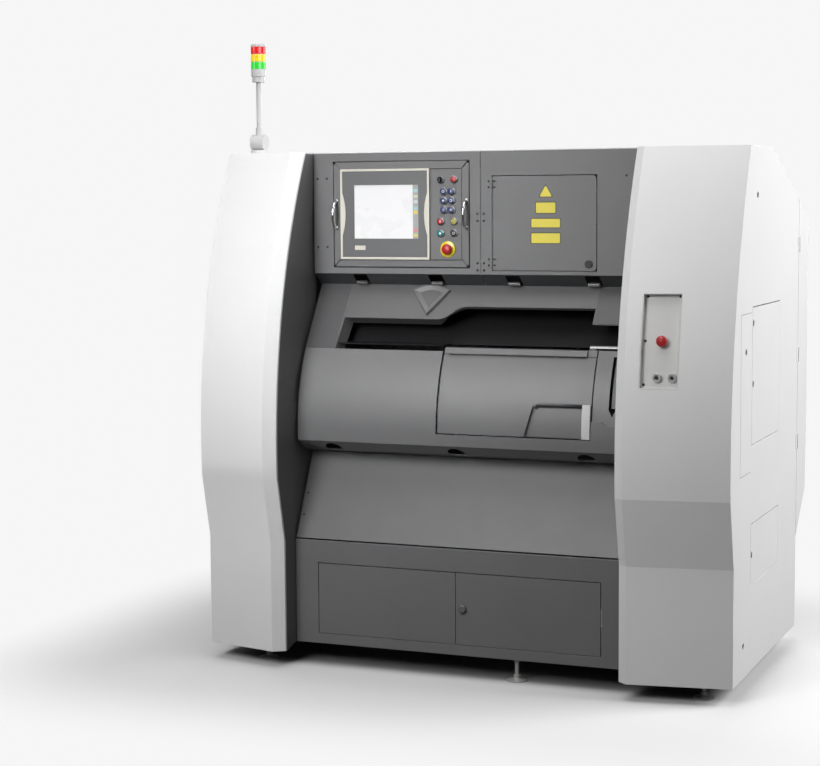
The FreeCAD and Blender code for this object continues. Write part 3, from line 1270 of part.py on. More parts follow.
def check():
    for item in doc.Objects:
        if {"Invalid", "Error"} & set(item.State):
            raise RuntimeError(f"{item.Name} did not recompute: {item.State}")
    labels = [item.Label for item in nodes]
    if len(set(labels)) != len(labels):
        raise RuntimeError("two nodes share a name")
    for item in nodes:
        if item.Shape.isNull() or not item.Shape.isValid():
            raise RuntimeError(f"{item.Label} has no valid shape")
        if not item.Shape.Solids:
            raise RuntimeError(f"{item.Label} holds no solid")


build()
check()
os.makedirs("parts", exist_ok=True)
for item in nodes:
    item.Shape.exportStep(f"parts/{item.Label}.step")
print(len(nodes), "nodes")
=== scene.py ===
# %% [markdown]
# # A laser powder-bed printer, finished in Blender
# The machine is a tall steel cabinet: two white curved columns stand either side of a dark
# bay that holds a console, a rolled hood and a lifting chamber door. Its shape and its joints
# come from a packed design, so this lesson only adds what makes it look real: rounded sheet
# edges, paint, plastic, metal, and the small trim that the design leaves plain.

# %% Load the frame
import json
import math

import bmesh
import bpy
from mathutils import Matrix, Vector


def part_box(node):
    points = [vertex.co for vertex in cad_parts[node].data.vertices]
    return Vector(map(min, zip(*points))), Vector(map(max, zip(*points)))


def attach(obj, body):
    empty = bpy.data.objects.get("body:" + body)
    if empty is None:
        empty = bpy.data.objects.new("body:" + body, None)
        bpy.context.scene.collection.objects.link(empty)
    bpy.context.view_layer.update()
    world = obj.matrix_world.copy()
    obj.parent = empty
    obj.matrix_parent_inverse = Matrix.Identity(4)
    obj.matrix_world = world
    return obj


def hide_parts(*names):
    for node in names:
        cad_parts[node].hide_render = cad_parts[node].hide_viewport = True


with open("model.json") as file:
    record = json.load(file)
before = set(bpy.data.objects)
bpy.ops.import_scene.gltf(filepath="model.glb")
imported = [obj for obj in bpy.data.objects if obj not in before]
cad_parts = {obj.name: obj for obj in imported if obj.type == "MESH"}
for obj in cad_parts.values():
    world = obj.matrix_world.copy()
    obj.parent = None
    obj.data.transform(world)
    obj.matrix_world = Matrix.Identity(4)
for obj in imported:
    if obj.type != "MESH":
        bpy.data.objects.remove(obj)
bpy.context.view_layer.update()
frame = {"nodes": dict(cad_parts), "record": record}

MM = 0.001
NODES = frame["nodes"]
BODY_OF = {node: body for body, members in frame["record"]["behaviour"]["bodies"].items()
           for node in members}
SLOT_OF = {part["node"]: part["material_slot"] for part in frame["record"]["subparts"]}

# %% [markdown]
# ## The camera
# A long lens from the front right, at about the console's height, keeps the machine's upright
# edges nearly parallel. The view is built from three turns: yaw about the vertical, pitch
# down, and a trace of roll. A small shift slides the view sideways without turning the lens.

# %% Camera
CAMERA_PLACE = (2.5505, -7.1551, 1.8067)
camera_data = bpy.data.cameras.new("camera")
camera_data.sensor_width = 36
camera_data.lens = 83.91
camera_data.shift_x, camera_data.shift_y = -0.0143, -0.0005
camera_data.clip_end = 200
camera = bpy.data.objects.new("camera", camera_data)
yaw, pitch, roll = math.radians(22.26), math.radians(5.49), math.radians(-0.403)
turn = (Matrix.Rotation(yaw, 4, "Z") @ Matrix.Rotation(math.pi / 2 - pitch, 4, "X")
        @ Matrix.Rotation(roll, 4, "Z"))
camera.matrix_world = Matrix.Translation(CAMERA_PLACE) @ turn
bpy.context.scene.collection.objects.link(camera)
bpy.context.scene.camera = camera
print("camera looks along", turn @ Vector((0, 0, -1)))

# %% [markdown]
# ## Floor and backdrop
# A studio sweep is one even tone with a soft shadow under the machine. A real sweep needs a
# curved wall. Here the floor is matt near the machine and turns, within about a metre, into a
# glowing tone equal to the world's, so no horizon shows. Right under the machine, where little
# light gets in, the matt floor's colour is darkened as well: a painted shadow.

# %% Floor and world
BACKDROP = 0.922
# The second of these tones is a painted shadow for the floor under the machine.
FLOOR_TONE, PAINTED_SHADOW_TONE, FLOOR_BOUNCE = 0.80, 0.22, 0.12
FLOOR_HALF = 40
GLOW_STARTS, GLOW_FULL = 0.25, 1.05
# How far in from the footprint's edge the painted shadow deepens.
PAINTED_SHADOW_REACH = 0.15
FILL_STRENGTH = 0.085


def new_material(name):
    material = bpy.data.materials.new(name)
    material.use_nodes = True
    material.node_tree.nodes.clear()
    return material, material.node_tree.nodes, material.node_tree.links


def math_node(tree, operation, first, second):
    node = tree.nodes.new("ShaderNodeMath")
    node.operation = operation
    for socket, value in zip(node.inputs, (first, second)):
        if isinstance(value, (int, float)):
            socket.default_value = value
        else:
            tree.links.new(value, socket)
    return node.outputs["Value"]


def add_mesh(name, vertices, faces):
    mesh = bpy.data.meshes.new(name)
    mesh.from_pydata([tuple(v) for v in vertices], [], faces)
    mesh.update()
    piece = bpy.data.objects.new(name, mesh)
    bpy.context.scene.collection.objects.link(piece)
    return piece


floor = add_mesh("floor", [(-FLOOR_HALF, -FLOOR_HALF, 0), (FLOOR_HALF, -FLOOR_HALF, 0),
                           (FLOOR_HALF, FLOOR_HALF, 0), (-FLOOR_HALF, FLOOR_HALF, 0)],
                 [(0, 1, 2, 3)])
floor_paint, nodes, links = new_material("floor")
floor_tree = floor_paint.node_tree
output = nodes.new("ShaderNodeOutputMaterial")
matt = nodes.new("ShaderNodeBsdfDiffuse")
glow = nodes.new("ShaderNodeEmission")
glow.inputs["Color"].default_value = (BACKDROP, BACKDROP, BACKDROP, 1)
shade = nodes.new("ShaderNodeMix")
shade.data_type = "RGBA"
shade.inputs[6].default_value = (FLOOR_BOUNCE, FLOOR_BOUNCE, FLOOR_BOUNCE, 1)
place = nodes.new("ShaderNodeTexCoord")
split = nodes.new("ShaderNodeSeparateXYZ")
links.new(place.outputs["Object"], split.inputs[0])


def reach_from(half_x, half_y):
    """How far a point of the floor lies outside a rectangle about the origin."""
    beyond = []
    for axis, half_size in (("X", half_x), ("Y", half_y)):
        from_middle = math_node(floor_tree, "ABSOLUTE", split.outputs[axis], 0)
        outside = math_node(floor_tree, "SUBTRACT", from_middle, half_size)
        outside = math_node(floor_tree, "MAXIMUM", outside, 0)
        beyond.append(math_node(floor_tree, "POWER", outside, 2))
    return math_node(floor_tree, "SQRT", math_node(floor_tree, "ADD", *beyond), 0)


ramp = nodes.new("ShaderNodeMapRange")
ramp.interpolation_type = "SMOOTHSTEP"
ramp.inputs["From Min"].default_value = GLOW_STARTS
ramp.inputs["From Max"].default_value = GLOW_FULL
links.new(reach_from(1.05, 0.70), ramp.inputs["Value"])
# Painted shadow: inside the machine's footprint, the floor's colour seen by the camera darkens.
painted_shadow = nodes.new("ShaderNodeMapRange")
painted_shadow.interpolation_type = "SMOOTHSTEP"
painted_shadow.inputs["From Max"].default_value = PAINTED_SHADOW_REACH
links.new(reach_from(0.86, 0.44), painted_shadow.inputs["Value"])
tone_with_painted_shadow = nodes.new("ShaderNodeMix")
tone_with_painted_shadow.data_type = "RGBA"
tone_with_painted_shadow.inputs[6].default_value = (PAINTED_SHADOW_TONE, PAINTED_SHADOW_TONE, PAINTED_SHADOW_TONE, 1)
tone_with_painted_shadow.inputs[7].default_value = (FLOOR_TONE, FLOOR_TONE, FLOOR_TONE, 1)
links.new(painted_shadow.outputs["Result"], tone_with_painted_shadow.inputs["Factor"])
links.new(tone_with_painted_shadow.outputs[2], shade.inputs[7])
ray = nodes.new("ShaderNodeLightPath")
blend = nodes.new("ShaderNodeMixShader")
glow_share = math_node(floor_tree, "MULTIPLY", ramp.outputs["Result"],
                       ray.outputs["Is Camera Ray"])
links.new(ray.outputs["Is Camera Ray"], shade.inputs["Factor"])
links.new(shade.outputs[2], matt.inputs["Color"])
links.new(glow_share, blend.inputs["Fac"])
links.new(matt.outputs["BSDF"], blend.inputs[1])
links.new(glow.outputs["Emission"], blend.inputs[2])
links.new(blend.outputs["Shader"], output.inputs["Surface"])
floor.data.materials.append(floor_paint)

world = bpy.data.worlds.new("studio")
bpy.context.scene.world = world
world.use_nodes = True
sky = world.node_tree.nodes
sky.clear()
sky_output = sky.new("ShaderNodeOutputWorld")
seen = sky.new("ShaderNodeBackground")
seen.inputs["Color"].default_value = (BACKDROP, BACKDROP, BACKDROP, 1)
fill = sky.new("ShaderNodeBackground")
fill.inputs["Color"].default_value = (1, 1, 1, 1)
fill.inputs["Strength"].default_value = FILL_STRENGTH
path = sky.new("ShaderNodeLightPath")
pick = sky.new("ShaderNodeMixShader")
world.node_tree.links.new(path.outputs["Is Camera Ray"], pick.inputs["Fac"])
world.node_tree.links.new(fill.outputs["Background"], pick.inputs[1])
world.node_tree.links.new(seen.outputs["Background"], pick.inputs[2])
world.node_tree.links.new(pick.outputs["Shader"], sky_output.inputs["Surface"])
bpy.context.scene.view_settings.view_transform = "Standard"
bpy.context.scene.view_settings.look = "None"
print("floor and world tone", BACKDROP)

# %% [markdown]
# ## Light
# Six soft boxes light the machine. One hangs overhead, so the upper part of each curved
# column is the brightest. A wide one stands at the front left. Two weak, narrow ones lift the
# left column's lower half and the bay. One stands at the right side, which leaves the right
# column's front darker than its side, and one stands behind for the doors at the back.

# %% Soft boxes
TARGET = Vector((0, -0.2, 1.1))


def soft_box(name, place, width, height, watts, target=TARGET, spread=180):
    """An area light at place, turned to target; a small spread keeps it off its neighbours."""
    light = bpy.data.lights.new(name, "AREA")
    light.shape = "RECTANGLE"
    light.size, light.size_y = width, height
    light.energy = watts
    light.spread = math.radians(spread)
    lamp = bpy.data.objects.new(name, light)
    lamp.location = place
    lamp.rotation_euler = (Vector(target) - Vector(place)).to_track_quat("-Z", "Y").to_euler()
    bpy.context.scene.collection.objects.link(lamp)
    print(name, "at", place, watts, "W")


soft_box("overhead", (-0.3, -1.4, 5.0), 4.0, 2.4, 78)
soft_box("left_front", (-0.9, -5.2, 3.8), 2.4, 2.2, 117)
soft_box("left_column", (-1.3, -4.4, 2.8), 1.4, 1.8, 6, target=(-1.15, -0.6, 0.90), spread=60)
soft_box("bay", (-0.9, -5.0, 2.2), 1.0, 1.0, 2, target=(-0.40, -0.4, 1.45), spread=27)
soft_box("right_side", (5.0, 0.9, 3.4), 3.0, 3.0, 295)
soft_box("rear", (-0.6, 6.0, 2.4), 3.4, 3.0, 185)

# %% [markdown]
# ## Shared surface effects
# Paint, plastic and metal share a few effects, so each is a node group that is built once.
# *Grain* is the orange-peel of powder coat or the tooth of a moulding. *Edge wear* finds
# edges by comparing the true normal with one that is rounded off. *Settled dust* lies where a
# surface looks up. *Handling* is the uneven sheen that hands and cloths leave.

# %% Group helper
def new_group(name, inputs, outputs):
    """A shader group; inputs are (name, default), outputs are names of float sockets."""
    group = bpy.data.node_groups.new(name, "ShaderNodeTree")
    for label, value in inputs:
        socket = group.interface.new_socket(label, in_out="INPUT", socket_type="NodeSocketFloat")
        socket.default_value = value
    for label in outputs:
        group.interface.new_socket(label, in_out="OUTPUT", socket_type="NodeSocketFloat")
    start = group.nodes.new("NodeGroupInput")
    stop = group.nodes.new("NodeGroupOutput")
    return group, start, stop


def noise_node(tree, scale, detail, roughness=0.5):
    noise = tree.nodes.new("ShaderNodeTexNoise")
    noise.inputs["Detail"].default_value = detail
    noise.inputs["Roughness"].default_value = roughness
    coordinates = tree.nodes.new("ShaderNodeTexCoord")
    tree.links.new(coordinates.outputs["Object"], noise.inputs["Vector"])
    if isinstance(scale, (int, float)):
        noise.inputs["Scale"].default_value = scale
    else:
        tree.links.new(scale, noise.inputs["Scale"])
    return noise.outputs["Fac"]


# %% Grain
grain, start, stop = new_group("grain", [("Bumps Per Metre", 500), ("Depth", 0.5)],
                               ["Height", "Mottle"])
fine = noise_node(grain, start.outputs["Bumps Per Metre"], 2)
grain.links.new(math_node(grain, "MULTIPLY", fine, start.outputs["Depth"]),
                stop.inputs["Height"])
grain.links.new(noise_node(grain, 6, 3), stop.inputs["Mottle"])
print("group", grain.name)

# %% Edge wear
edge_wear, start, stop = new_group("edge_wear", [("Reach", 0.002), ("Amount", 0.5)], ["Mask"])
rounded = edge_wear.nodes.new("ShaderNodeBevel")
rounded.samples = 4
edge_wear.links.new(start.outputs["Reach"], rounded.inputs["Radius"])
true_normal = edge_wear.nodes.new("ShaderNodeNewGeometry")
compare = edge_wear.nodes.new("ShaderNodeVectorMath")
compare.operation = "DOT_PRODUCT"
edge_wear.links.new(rounded.outputs["Normal"], compare.inputs[0])
edge_wear.links.new(true_normal.outputs["Normal"], compare.inputs[1])
off_flat = math_node(edge_wear, "SUBTRACT", 1, compare.outputs["Value"])
patchy = math_node(edge_wear, "MULTIPLY", off_flat, noise_node(edge_wear, 90, 4, 0.7))
scaled = math_node(edge_wear, "MULTIPLY", patchy, start.outputs["Amount"])
clamped = math_node(edge_wear, "MINIMUM", scaled, 1)
edge_wear.links.new(clamped, stop.inputs["Mask"])
print("group", edge_wear.name)

# %% Settled dust and handling
dust, start, stop = new_group("settled_dust", [("Amount", 0.2)], ["Mask"])
facing = dust.nodes.new("ShaderNodeNewGeometry")
split = dust.nodes.new("ShaderNodeSeparateXYZ")
dust.links.new(facing.outputs["Normal"], split.inputs[0])
upward = math_node(dust, "MAXIMUM", split.outputs["Z"], 0)
cloudy = math_node(dust, "MULTIPLY", upward, noise_node(dust, 14, 5, 0.65))
dust.links.new(math_node(dust, "MULTIPLY", cloudy, start.outputs["Amount"]),
               stop.inputs["Mask"])

handling, start, stop = new_group("handling", [("Base", 0.4), ("Spread", 0.1)], ["Roughness"])
smear = noise_node(handling, 9, 5, 0.6)
swing = math_node(handling, "MULTIPLY", math_node(handling, "SUBTRACT", smear, 0.5),
                  start.outputs["Spread"])
handling.links.new(math_node(handling, "ADD", start.outputs["Base"], swing),
                   stop.inputs["Roughness"])
print("groups", dust.name, handling.name)

# %% [markdown]
# *Brushing* is the fine straight scratching that a belt or a mill leaves in bare steel and
# aluminium. It is noise drawn out along one axis. *Spangle* is the crystal pattern of zinc
# plate: cells of slightly different brightness.

# %% Brushing and spangle
brushing, start, stop = new_group("brushing", [("Lines Per Metre", 900), ("Length", 0.03)],
                                  ["Height", "Streak"])
where = brushing.nodes.new("ShaderNodeTexCoord")
drawn_out = brushing.nodes.new("ShaderNodeVectorMath")
drawn_out.operation = "MULTIPLY"
along = brushing.nodes.new("ShaderNodeCombineXYZ")
brushing.links.new(start.outputs["Length"], along.inputs["X"])
along.inputs["Y"].default_value = along.inputs["Z"].default_value = 1
brushing.links.new(where.outputs["Object"], drawn_out.inputs[0])
brushing.links.new(along.outputs["Vector"], drawn_out.inputs[1])
streaks = brushing.nodes.new("ShaderNodeTexNoise")
streaks.inputs["Detail"].default_value = 3
brushing.links.new(drawn_out.outputs["Vector"], streaks.inputs["Vector"])
brushing.links.new(start.outputs["Lines Per Metre"], streaks.inputs["Scale"])
brushing.links.new(streaks.outputs["Fac"], stop.inputs["Height"])
brushing.links.new(streaks.outputs["Fac"], stop.inputs["Streak"])

spangle, start, stop = new_group("spangle", [("Cells Per Metre", 260)], ["Tone"])
cells = spangle.nodes.new("ShaderNodeTexVoronoi")
where = spangle.nodes.new("ShaderNodeTexCoord")
spangle.links.new(where.outputs["Object"], cells.inputs["Vector"])
spangle.links.new(start.outputs["Cells Per Metre"], cells.inputs["Scale"])
one_channel = spangle.nodes.new("ShaderNodeSeparateColor")
spangle.links.new(cells.outputs["Color"], one_channel.inputs["Color"])
spangle.links.new(one_channel.outputs["Red"], stop.inputs["Tone"])
print("groups", brushing.name, spangle.name)

# %% [markdown]
# ## One recipe for a finish
# Every finish is a Principled shader. Its constant values are set on its own sockets. What
# changes over the surface comes from the groups: a two-tone base colour, wear on the edges,
# dust on top, an uneven sheen and a small bump. Only the numbers differ between finishes.

# %% Finish helper
def place_group(material, group, **values):
    node = material.node_tree.nodes.new("ShaderNodeGroup")
    node.node_tree = group
    for label, value in values.items():
        node.inputs[label.replace("_", " ")].default_value = value
    return node


def mix_colour(material, mask, first, second):
    """A mix whose ends are colours or sockets, driven by a mask socket."""
    mix = material.node_tree.nodes.new("ShaderNodeMix")
    mix.data_type = "RGBA"
    material.node_tree.links.new(mask, mix.inputs["Factor"])
    for socket, value in ((mix.inputs[6], first), (mix.inputs[7], second)):
        if isinstance(value, tuple):
            socket.default_value = (*value, 1)
        else:
            material.node_tree.links.new(value, socket)
    return mix.outputs[2]


FINISHES = {}


def finish(name, light, dark, roughness, metallic=0.0, texture="grain", texture_size=450.0,
           bump=0.00003, wear=None, wear_amount=0.0, dust_amount=0.0, spread=0.12,
           coat=0.0, specular=0.5):
    """A Principled finish from two tones of one colour and the shared groups."""
    material, nodes, links = new_material(name)
    output = nodes.new("ShaderNodeOutputMaterial")
    shader = nodes.new("ShaderNodeBsdfPrincipled")
    links.new(shader.outputs["BSDF"], output.inputs["Surface"])
    shader.inputs["Metallic"].default_value = metallic
    shader.inputs["Coat Weight"].default_value = coat
    shader.inputs["Coat Roughness"].default_value = 0.12
    shader.inputs["Specular IOR Level"].default_value = specular
    clouds = place_group(material, grain, Bumps_Per_Metre=texture_size, Depth=1.0)
    tone = clouds.outputs["Mottle"]
    height = clouds.outputs["Height"]
    if texture == "brushing":
        lines = place_group(material, brushing, Lines_Per_Metre=texture_size)
        tone, height = lines.outputs["Streak"], lines.outputs["Height"]
    if texture == "spangle":
        tone = place_group(material, spangle, Cells_Per_Metre=texture_size).outputs["Tone"]
    colour = mix_colour(material, tone, dark, light)
    if wear:
        rubbed = place_group(material, edge_wear, Reach=0.002, Amount=wear_amount)
        colour = mix_colour(material, rubbed.outputs["Mask"], colour, wear)
    if dust_amount:
        lying = place_group(material, dust, Amount=dust_amount)
        colour = mix_colour(material, lying.outputs["Mask"], colour, (0.55, 0.54, 0.52))
    links.new(colour, shader.inputs["Base Color"])
    sheen = place_group(material, handling, Base=roughness, Spread=spread)
    links.new(sheen.outputs["Roughness"], shader.inputs["Roughness"])
    relief = nodes.new("ShaderNodeBump")
    relief.inputs["Distance"].default_value = bump
    relief.inputs["Strength"].default_value = 1.0
    links.new(height, relief.inputs["Height"])
    links.new(relief.outputs["Normal"], shader.inputs["Normal"])
    FINISHES[name] = material
    return material


print("one recipe, six shared effects")

# %% [markdown]
# ## Powder coat
# The outside panels are sheet steel with a baked powder coat: white on the columns, dark grey
# in the bay. Powder coat has a fine orange-peel and rubs a little lighter on folds. The hood's
# header, slope and end plates and the cheeks take darker copies of the grey: painted shade.

# %% Powder coats
LIGHT_RUB = (0.42, 0.42, 0.42)
finish("white_paint", (0.83, 0.83, 0.83), (0.79, 0.79, 0.79), 0.42, wear=(0.66, 0.66, 0.66),
       wear_amount=1.2, dust_amount=0.05, texture_size=420)
GREY_COATS = {
    "grey_paint": ((0.172, 0.172, 0.176), (0.150, 0.150, 0.154), 0.40, 2.2, 0.10),
    # The next three greys are darker copies of the first, for painted shade; the third is also the
    # arms' dark grey.
    "header_painted_shade": ((0.120, 0.120, 0.123), (0.106, 0.106, 0.109), 0.40, 2.2, 0.05),
    "slope_painted_shade": ((0.132, 0.132, 0.135), (0.116, 0.116, 0.119), 0.40, 2.2, 0.08),
    "dark_grey_and_painted_shade": ((0.088, 0.088, 0.091), (0.076, 0.076, 0.079), 0.42, 2.0, 0.05),
    "dark_paint": ((0.094, 0.094, 0.098), (0.080, 0.080, 0.084), 0.38, 1.8, 0.10),
    "frame_paint": ((0.060, 0.062, 0.066), (0.048, 0.050, 0.054), 0.45, 1.5, 0.25),
    "laser_housing": ((0.085, 0.085, 0.090), (0.070, 0.070, 0.074), 0.36, 1.5, 0.2)}
for coat_name, (light, dark, roughness, rub, lying) in GREY_COATS.items():
    finish(coat_name, light, dark, roughness, wear=LIGHT_RUB, wear_amount=rub,
           dust_amount=lying)
finish("niche_plastic", (0.72, 0.72, 0.71), (0.68, 0.68, 0.67), 0.36, wear=(0.8, 0.8, 0.8),
       wear_amount=1.0)
finish("black_paint", (0.020, 0.020, 0.021), (0.014, 0.014, 0.015), 0.48,
       wear=(0.12, 0.12, 0.12), wear_amount=1.5, dust_amount=0.05)
# Painted shade: a near-black, dull paint for the window's tray stands in for the recess's deep
# shade.
finish("tray_painted_shade", (0.012, 0.012, 0.013), (0.008, 0.008, 0.009), 0.62, specular=0.15)
print(list(FINISHES))

# %% [markdown]
# ## Bare and plated metal
# Small screws are blackened steel. The hood latches and the side and rear locks are zinc
# plated, which shows faint crystals. The feet and the key switches are satin nickel. The
# chamber, its platform and its roller are brushed stainless, and the handles are chrome.

# %% Metals
finish("zinc_steel", (0.62, 0.62, 0.61), (0.46, 0.46, 0.46), 0.34, metallic=1.0,
       texture="spangle", texture_size=170, wear=(0.80, 0.80, 0.80), wear_amount=1.5)
finish("zinc_cast", (0.42, 0.42, 0.41), (0.34, 0.34, 0.33), 0.36, metallic=1.0,
       texture_size=900, wear=(0.75, 0.75, 0.75), wear_amount=1.5)
finish("black_steel", (0.042, 0.042, 0.044), (0.026, 0.026, 0.028), 0.36, metallic=0.6,
       texture_size=1400, wear=(0.30, 0.30, 0.30), wear_amount=2.0)
finish("bright_steel", (0.22, 0.22, 0.22), (0.18, 0.18, 0.18), 0.30, metallic=0.85,
       texture_size=900, spread=0.06, wear=(0.85, 0.85, 0.85), wear_amount=1.0)
finish("satin_nickel", (0.60, 0.60, 0.59), (0.52, 0.52, 0.51), 0.34, metallic=0.45,
       texture_size=900, wear=(0.80, 0.80, 0.80), wear_amount=1.0)
finish("hinge_steel", (0.20, 0.20, 0.205), (0.15, 0.15, 0.155), 0.38, metallic=0.4,
       texture_size=900, wear=LIGHT_RUB, wear_amount=2.0)
finish("stainless", (0.60, 0.60, 0.59), (0.50, 0.50, 0.49), 0.30, metallic=1.0,
       texture="brushing", texture_size=1100, wear=(0.78, 0.78, 0.77), wear_amount=1.0)
finish("aluminium", (0.68, 0.68, 0.70), (0.60, 0.60, 0.62), 0.34, metallic=1.0,
       texture="brushing", texture_size=900, wear=(0.85, 0.85, 0.86), wear_amount=1.0)
finish("chrome", (0.84, 0.84, 0.85), (0.80, 0.80, 0.81), 0.10, metallic=1.0,
       texture_size=300, bump=0.000004, spread=0.05)
print(len(FINISHES), "finishes so far")

# %% [markdown]
# ## Moulded plastic
# Plastic keeps one colour through its thickness, so its edges wear only in sheen. Buttons are
# glossy with a clear outer skin, so they carry a thin coat. The tower and the door's grip have
# a fine tooth from the mould.

# %% Plastics
finish("grip_plastic", (0.63, 0.63, 0.62), (0.58, 0.58, 0.57), 0.46, texture_size=1100)
finish("tower_plastic", (0.62, 0.62, 0.62), (0.57, 0.57, 0.57), 0.42, texture_size=1100,
       dust_amount=0.1)
finish("ivory_plastic", (0.74, 0.71, 0.63), (0.71, 0.68, 0.60), 0.34, texture_size=900,
       bump=0.00001)
finish("membrane", (0.155, 0.157, 0.160), (0.140, 0.142, 0.145), 0.30, texture_size=1500,
       bump=0.00001)
BUTTON_TONES = {"black_plastic": (0.020, 0.020, 0.021), "red_plastic": (0.52, 0.025, 0.030),
                "blue_plastic": (0.045, 0.080, 0.230), "yellow_plastic": (0.55, 0.50, 0.10),
                "teal_plastic": (0.015, 0.290, 0.290), "stop_yellow": (0.80, 0.62, 0.03)}
for tone_name, tone in BUTTON_TONES.items():
    finish(tone_name, tone, tuple(0.86 * part for part in tone), 0.26, texture_size=700,
           bump=0.000008, coat=0.4, spread=0.08)
finish("label_yellow", (0.86, 0.74, 0.07), (0.80, 0.68, 0.06), 0.40, texture_size=800,
       bump=0.000006)
finish("ring_metal", (0.16, 0.16, 0.17), (0.11, 0.11, 0.12), 0.28, metallic=0.8,
       texture_size=900, wear=(0.5, 0.5, 0.5), wear_amount=1.5)
SMALL_TONES = {"mark_white": (0.78, 0.80, 0.82), "mark_dark": (0.16, 0.15, 0.05),
               "strip_grey": (0.42, 0.42, 0.42), "tile_teal": (0.38, 0.66, 0.66),
               "tile_sand": (0.72, 0.66, 0.52), "tile_mist": (0.66, 0.68, 0.72),
               "tile_sun": (0.80, 0.68, 0.16), "tile_rose": (0.74, 0.26, 0.30),
               "plate_rim": (0.040, 0.038, 0.018), "hairline": (0.34, 0.34, 0.34)}
for tone_name, tone in SMALL_TONES.items():
    finish(tone_name, tone, tuple(0.92 * part for part in tone), 0.38, texture_size=900,
           bump=0.000006, spread=0.06)
finish("rubber", (0.016, 0.016, 0.016), (0.010, 0.010, 0.010), 0.62, texture_size=1300)
# The near-black gap finish is painted shade for gaps between parts.
finish("gap_painted_shade", (0.010, 0.010, 0.010), (0.006, 0.006, 0.006), 0.80, texture_size=400)
print(len(FINISHES), "finishes")

# %% [markdown]
# ## Screen and lamps
# The display is a white panel lit from behind. The three tower lamps are ribbed, coloured,
# slightly lit covers: a little glow from the colour itself keeps them bright without a bulb.

# %% Lit finishes
def lit(name, colour, glow_colour, strength, roughness, coat=0.3):
    material = finish(name, colour, tuple(0.9 * part for part in colour), roughness,
                      texture_size=600, bump=0.000006, coat=coat)
    shader = material.node_tree.nodes["Principled BSDF"]
    shader.inputs["Emission Color"].default_value = (*glow_colour, 1)
    shader.inputs["Emission Strength"].default_value = strength
    return material


lit("screen_glass", (0.60, 0.60, 0.61), (0.95, 0.95, 0.96), 0.36, 0.28)
lit("lamp_red", (0.62, 0.012, 0.012), (0.90, 0.010, 0.010), 0.32, 0.30)
lit("lamp_amber", (0.82, 0.58, 0.010), (0.95, 0.62, 0.010), 0.32, 0.30)
lit("lamp_green", (0.030, 0.58, 0.040), (0.030, 0.72, 0.040), 0.32, 0.30)
print(len(FINISHES), "finishes")

# %% [markdown]
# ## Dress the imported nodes
# Every node of the design has a named finish, which it takes here. Most of the sheet parts
# need softer edges than the design gives, so a copy stands for each: its mesh is cleaned, its
# edges get a small bevel, and its normals are weighted by face area, which keeps the flats
# flat and the bevels soft. The other nodes keep their own mesh, or are rebuilt further on.

# %% Piece helpers
for node_name, node in NODES.items():
    node.data.materials.clear()
    node.data.materials.append(FINISHES[SLOT_OF[node_name]])


def settle(piece, material, body):
    """Gives a new piece its finish and the body it moves with."""
    piece.data.materials.clear()
    piece.data.materials.append(FINISHES[material])
    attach(piece, body)
    return piece


def soften(piece, width, segments=2, angle=30):
    """A bevel on every fold sharper than angle, with weighted normals."""
    bevel = piece.modifiers.new("edge", "BEVEL")
    bevel.width, bevel.segments = width, segments
    bevel.limit_method, bevel.angle_limit = "ANGLE", math.radians(angle)
    bevel.use_clamp_overlap = True
    bevel.harden_normals = False
    for polygon in piece.data.polygons:
        polygon.use_smooth = True
    weighted = piece.modifiers.new("shade", "WEIGHTED_NORMAL")
    weighted.keep_sharp = True
    weighted.weight = 80


def finished_copy(node_name, width, angle=30, segments=2):
    """A cleaned, softened copy of a node that stands for it."""
    source = NODES[node_name]
    work = bmesh.new()
    work.from_mesh(source.data)
    bmesh.ops.remove_doubles(work, verts=work.verts, dist=0.00002)
    bmesh.ops.dissolve_limit(work, angle_limit=math.radians(0.6), verts=work.verts,
                             edges=work.edges, use_dissolve_boundaries=False)
    mesh = bpy.data.meshes.new(node_name + "_finished")
    work.to_mesh(mesh)
    work.free()
    piece = bpy.data.objects.new(node_name + "_finished", mesh)
    bpy.context.scene.collection.objects.link(piece)
    soften(piece, width, segments, angle)
    settle(piece, SLOT_OF[node_name], BODY_OF[node_name])
    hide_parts(node_name)
    return piece


print("node finishes assigned")

# %% [markdown]
# Folded sheet has a small outside radius at each bend; moulded and machined parts have a
# finer one. So the nodes are softened in two groups, each with its own width. A few panels then
# take a darker paint as painted shade, and a few fittings take a metal of their own.

# %% Softened nodes
SHEET = ["body_panels", "top_cover", "left_front_cover", "cheek_panels", "slanted_panel",
         "lower_fascia", "upper_fascia", "hood_header", "lower_door_left",
         "lower_door_right", "side_door_upper", "side_door_lower", "window_tray"]
FINE = ["base_frame", "chamber_door", "hood_drum", "laser_door", "door_handle",
        "hood_latches"]
# Painted shade: these panels take a darker grey than their own, and the window's tray a near-black.
PAINTED_SHADE = {"hood_header": "header_painted_shade", "slanted_panel": "slope_painted_shade",
         "cheek_panels": "slope_painted_shade", "window_tray": "tray_painted_shade"}
OWN_METAL = {"leveling_feet": "satin_nickel", "column_lock_left": "satin_nickel",
             "column_lock_right": "satin_nickel", "lower_door_knob": "hinge_steel"}
SHEET_EDGE, FINE_EDGE = 0.0016, 0.0010
COPIES = {}
for group_nodes, edge_width in ((SHEET, SHEET_EDGE), (FINE, FINE_EDGE)):
    for node_name in group_nodes:
        COPIES[node_name] = finished_copy(node_name, edge_width)
for node_name, paint in PAINTED_SHADE.items():
    COPIES[node_name].data.materials[0] = FINISHES[paint]
for node_name, metal in OWN_METAL.items():
    NODES[node_name].data.materials[0] = FINISHES[metal]
print(len(COPIES), "nodes softened")

# %% [markdown]
# ## Three ways to make a small part
# Most trim is one of three things: a flat plate cut from sheet, a turned part, or a bent rod.
# A plate is a filled curve with a little thickness and a rounded edge. A turned part is a
# profile spun about its own axis. A bent rod is a round tube that follows a line.

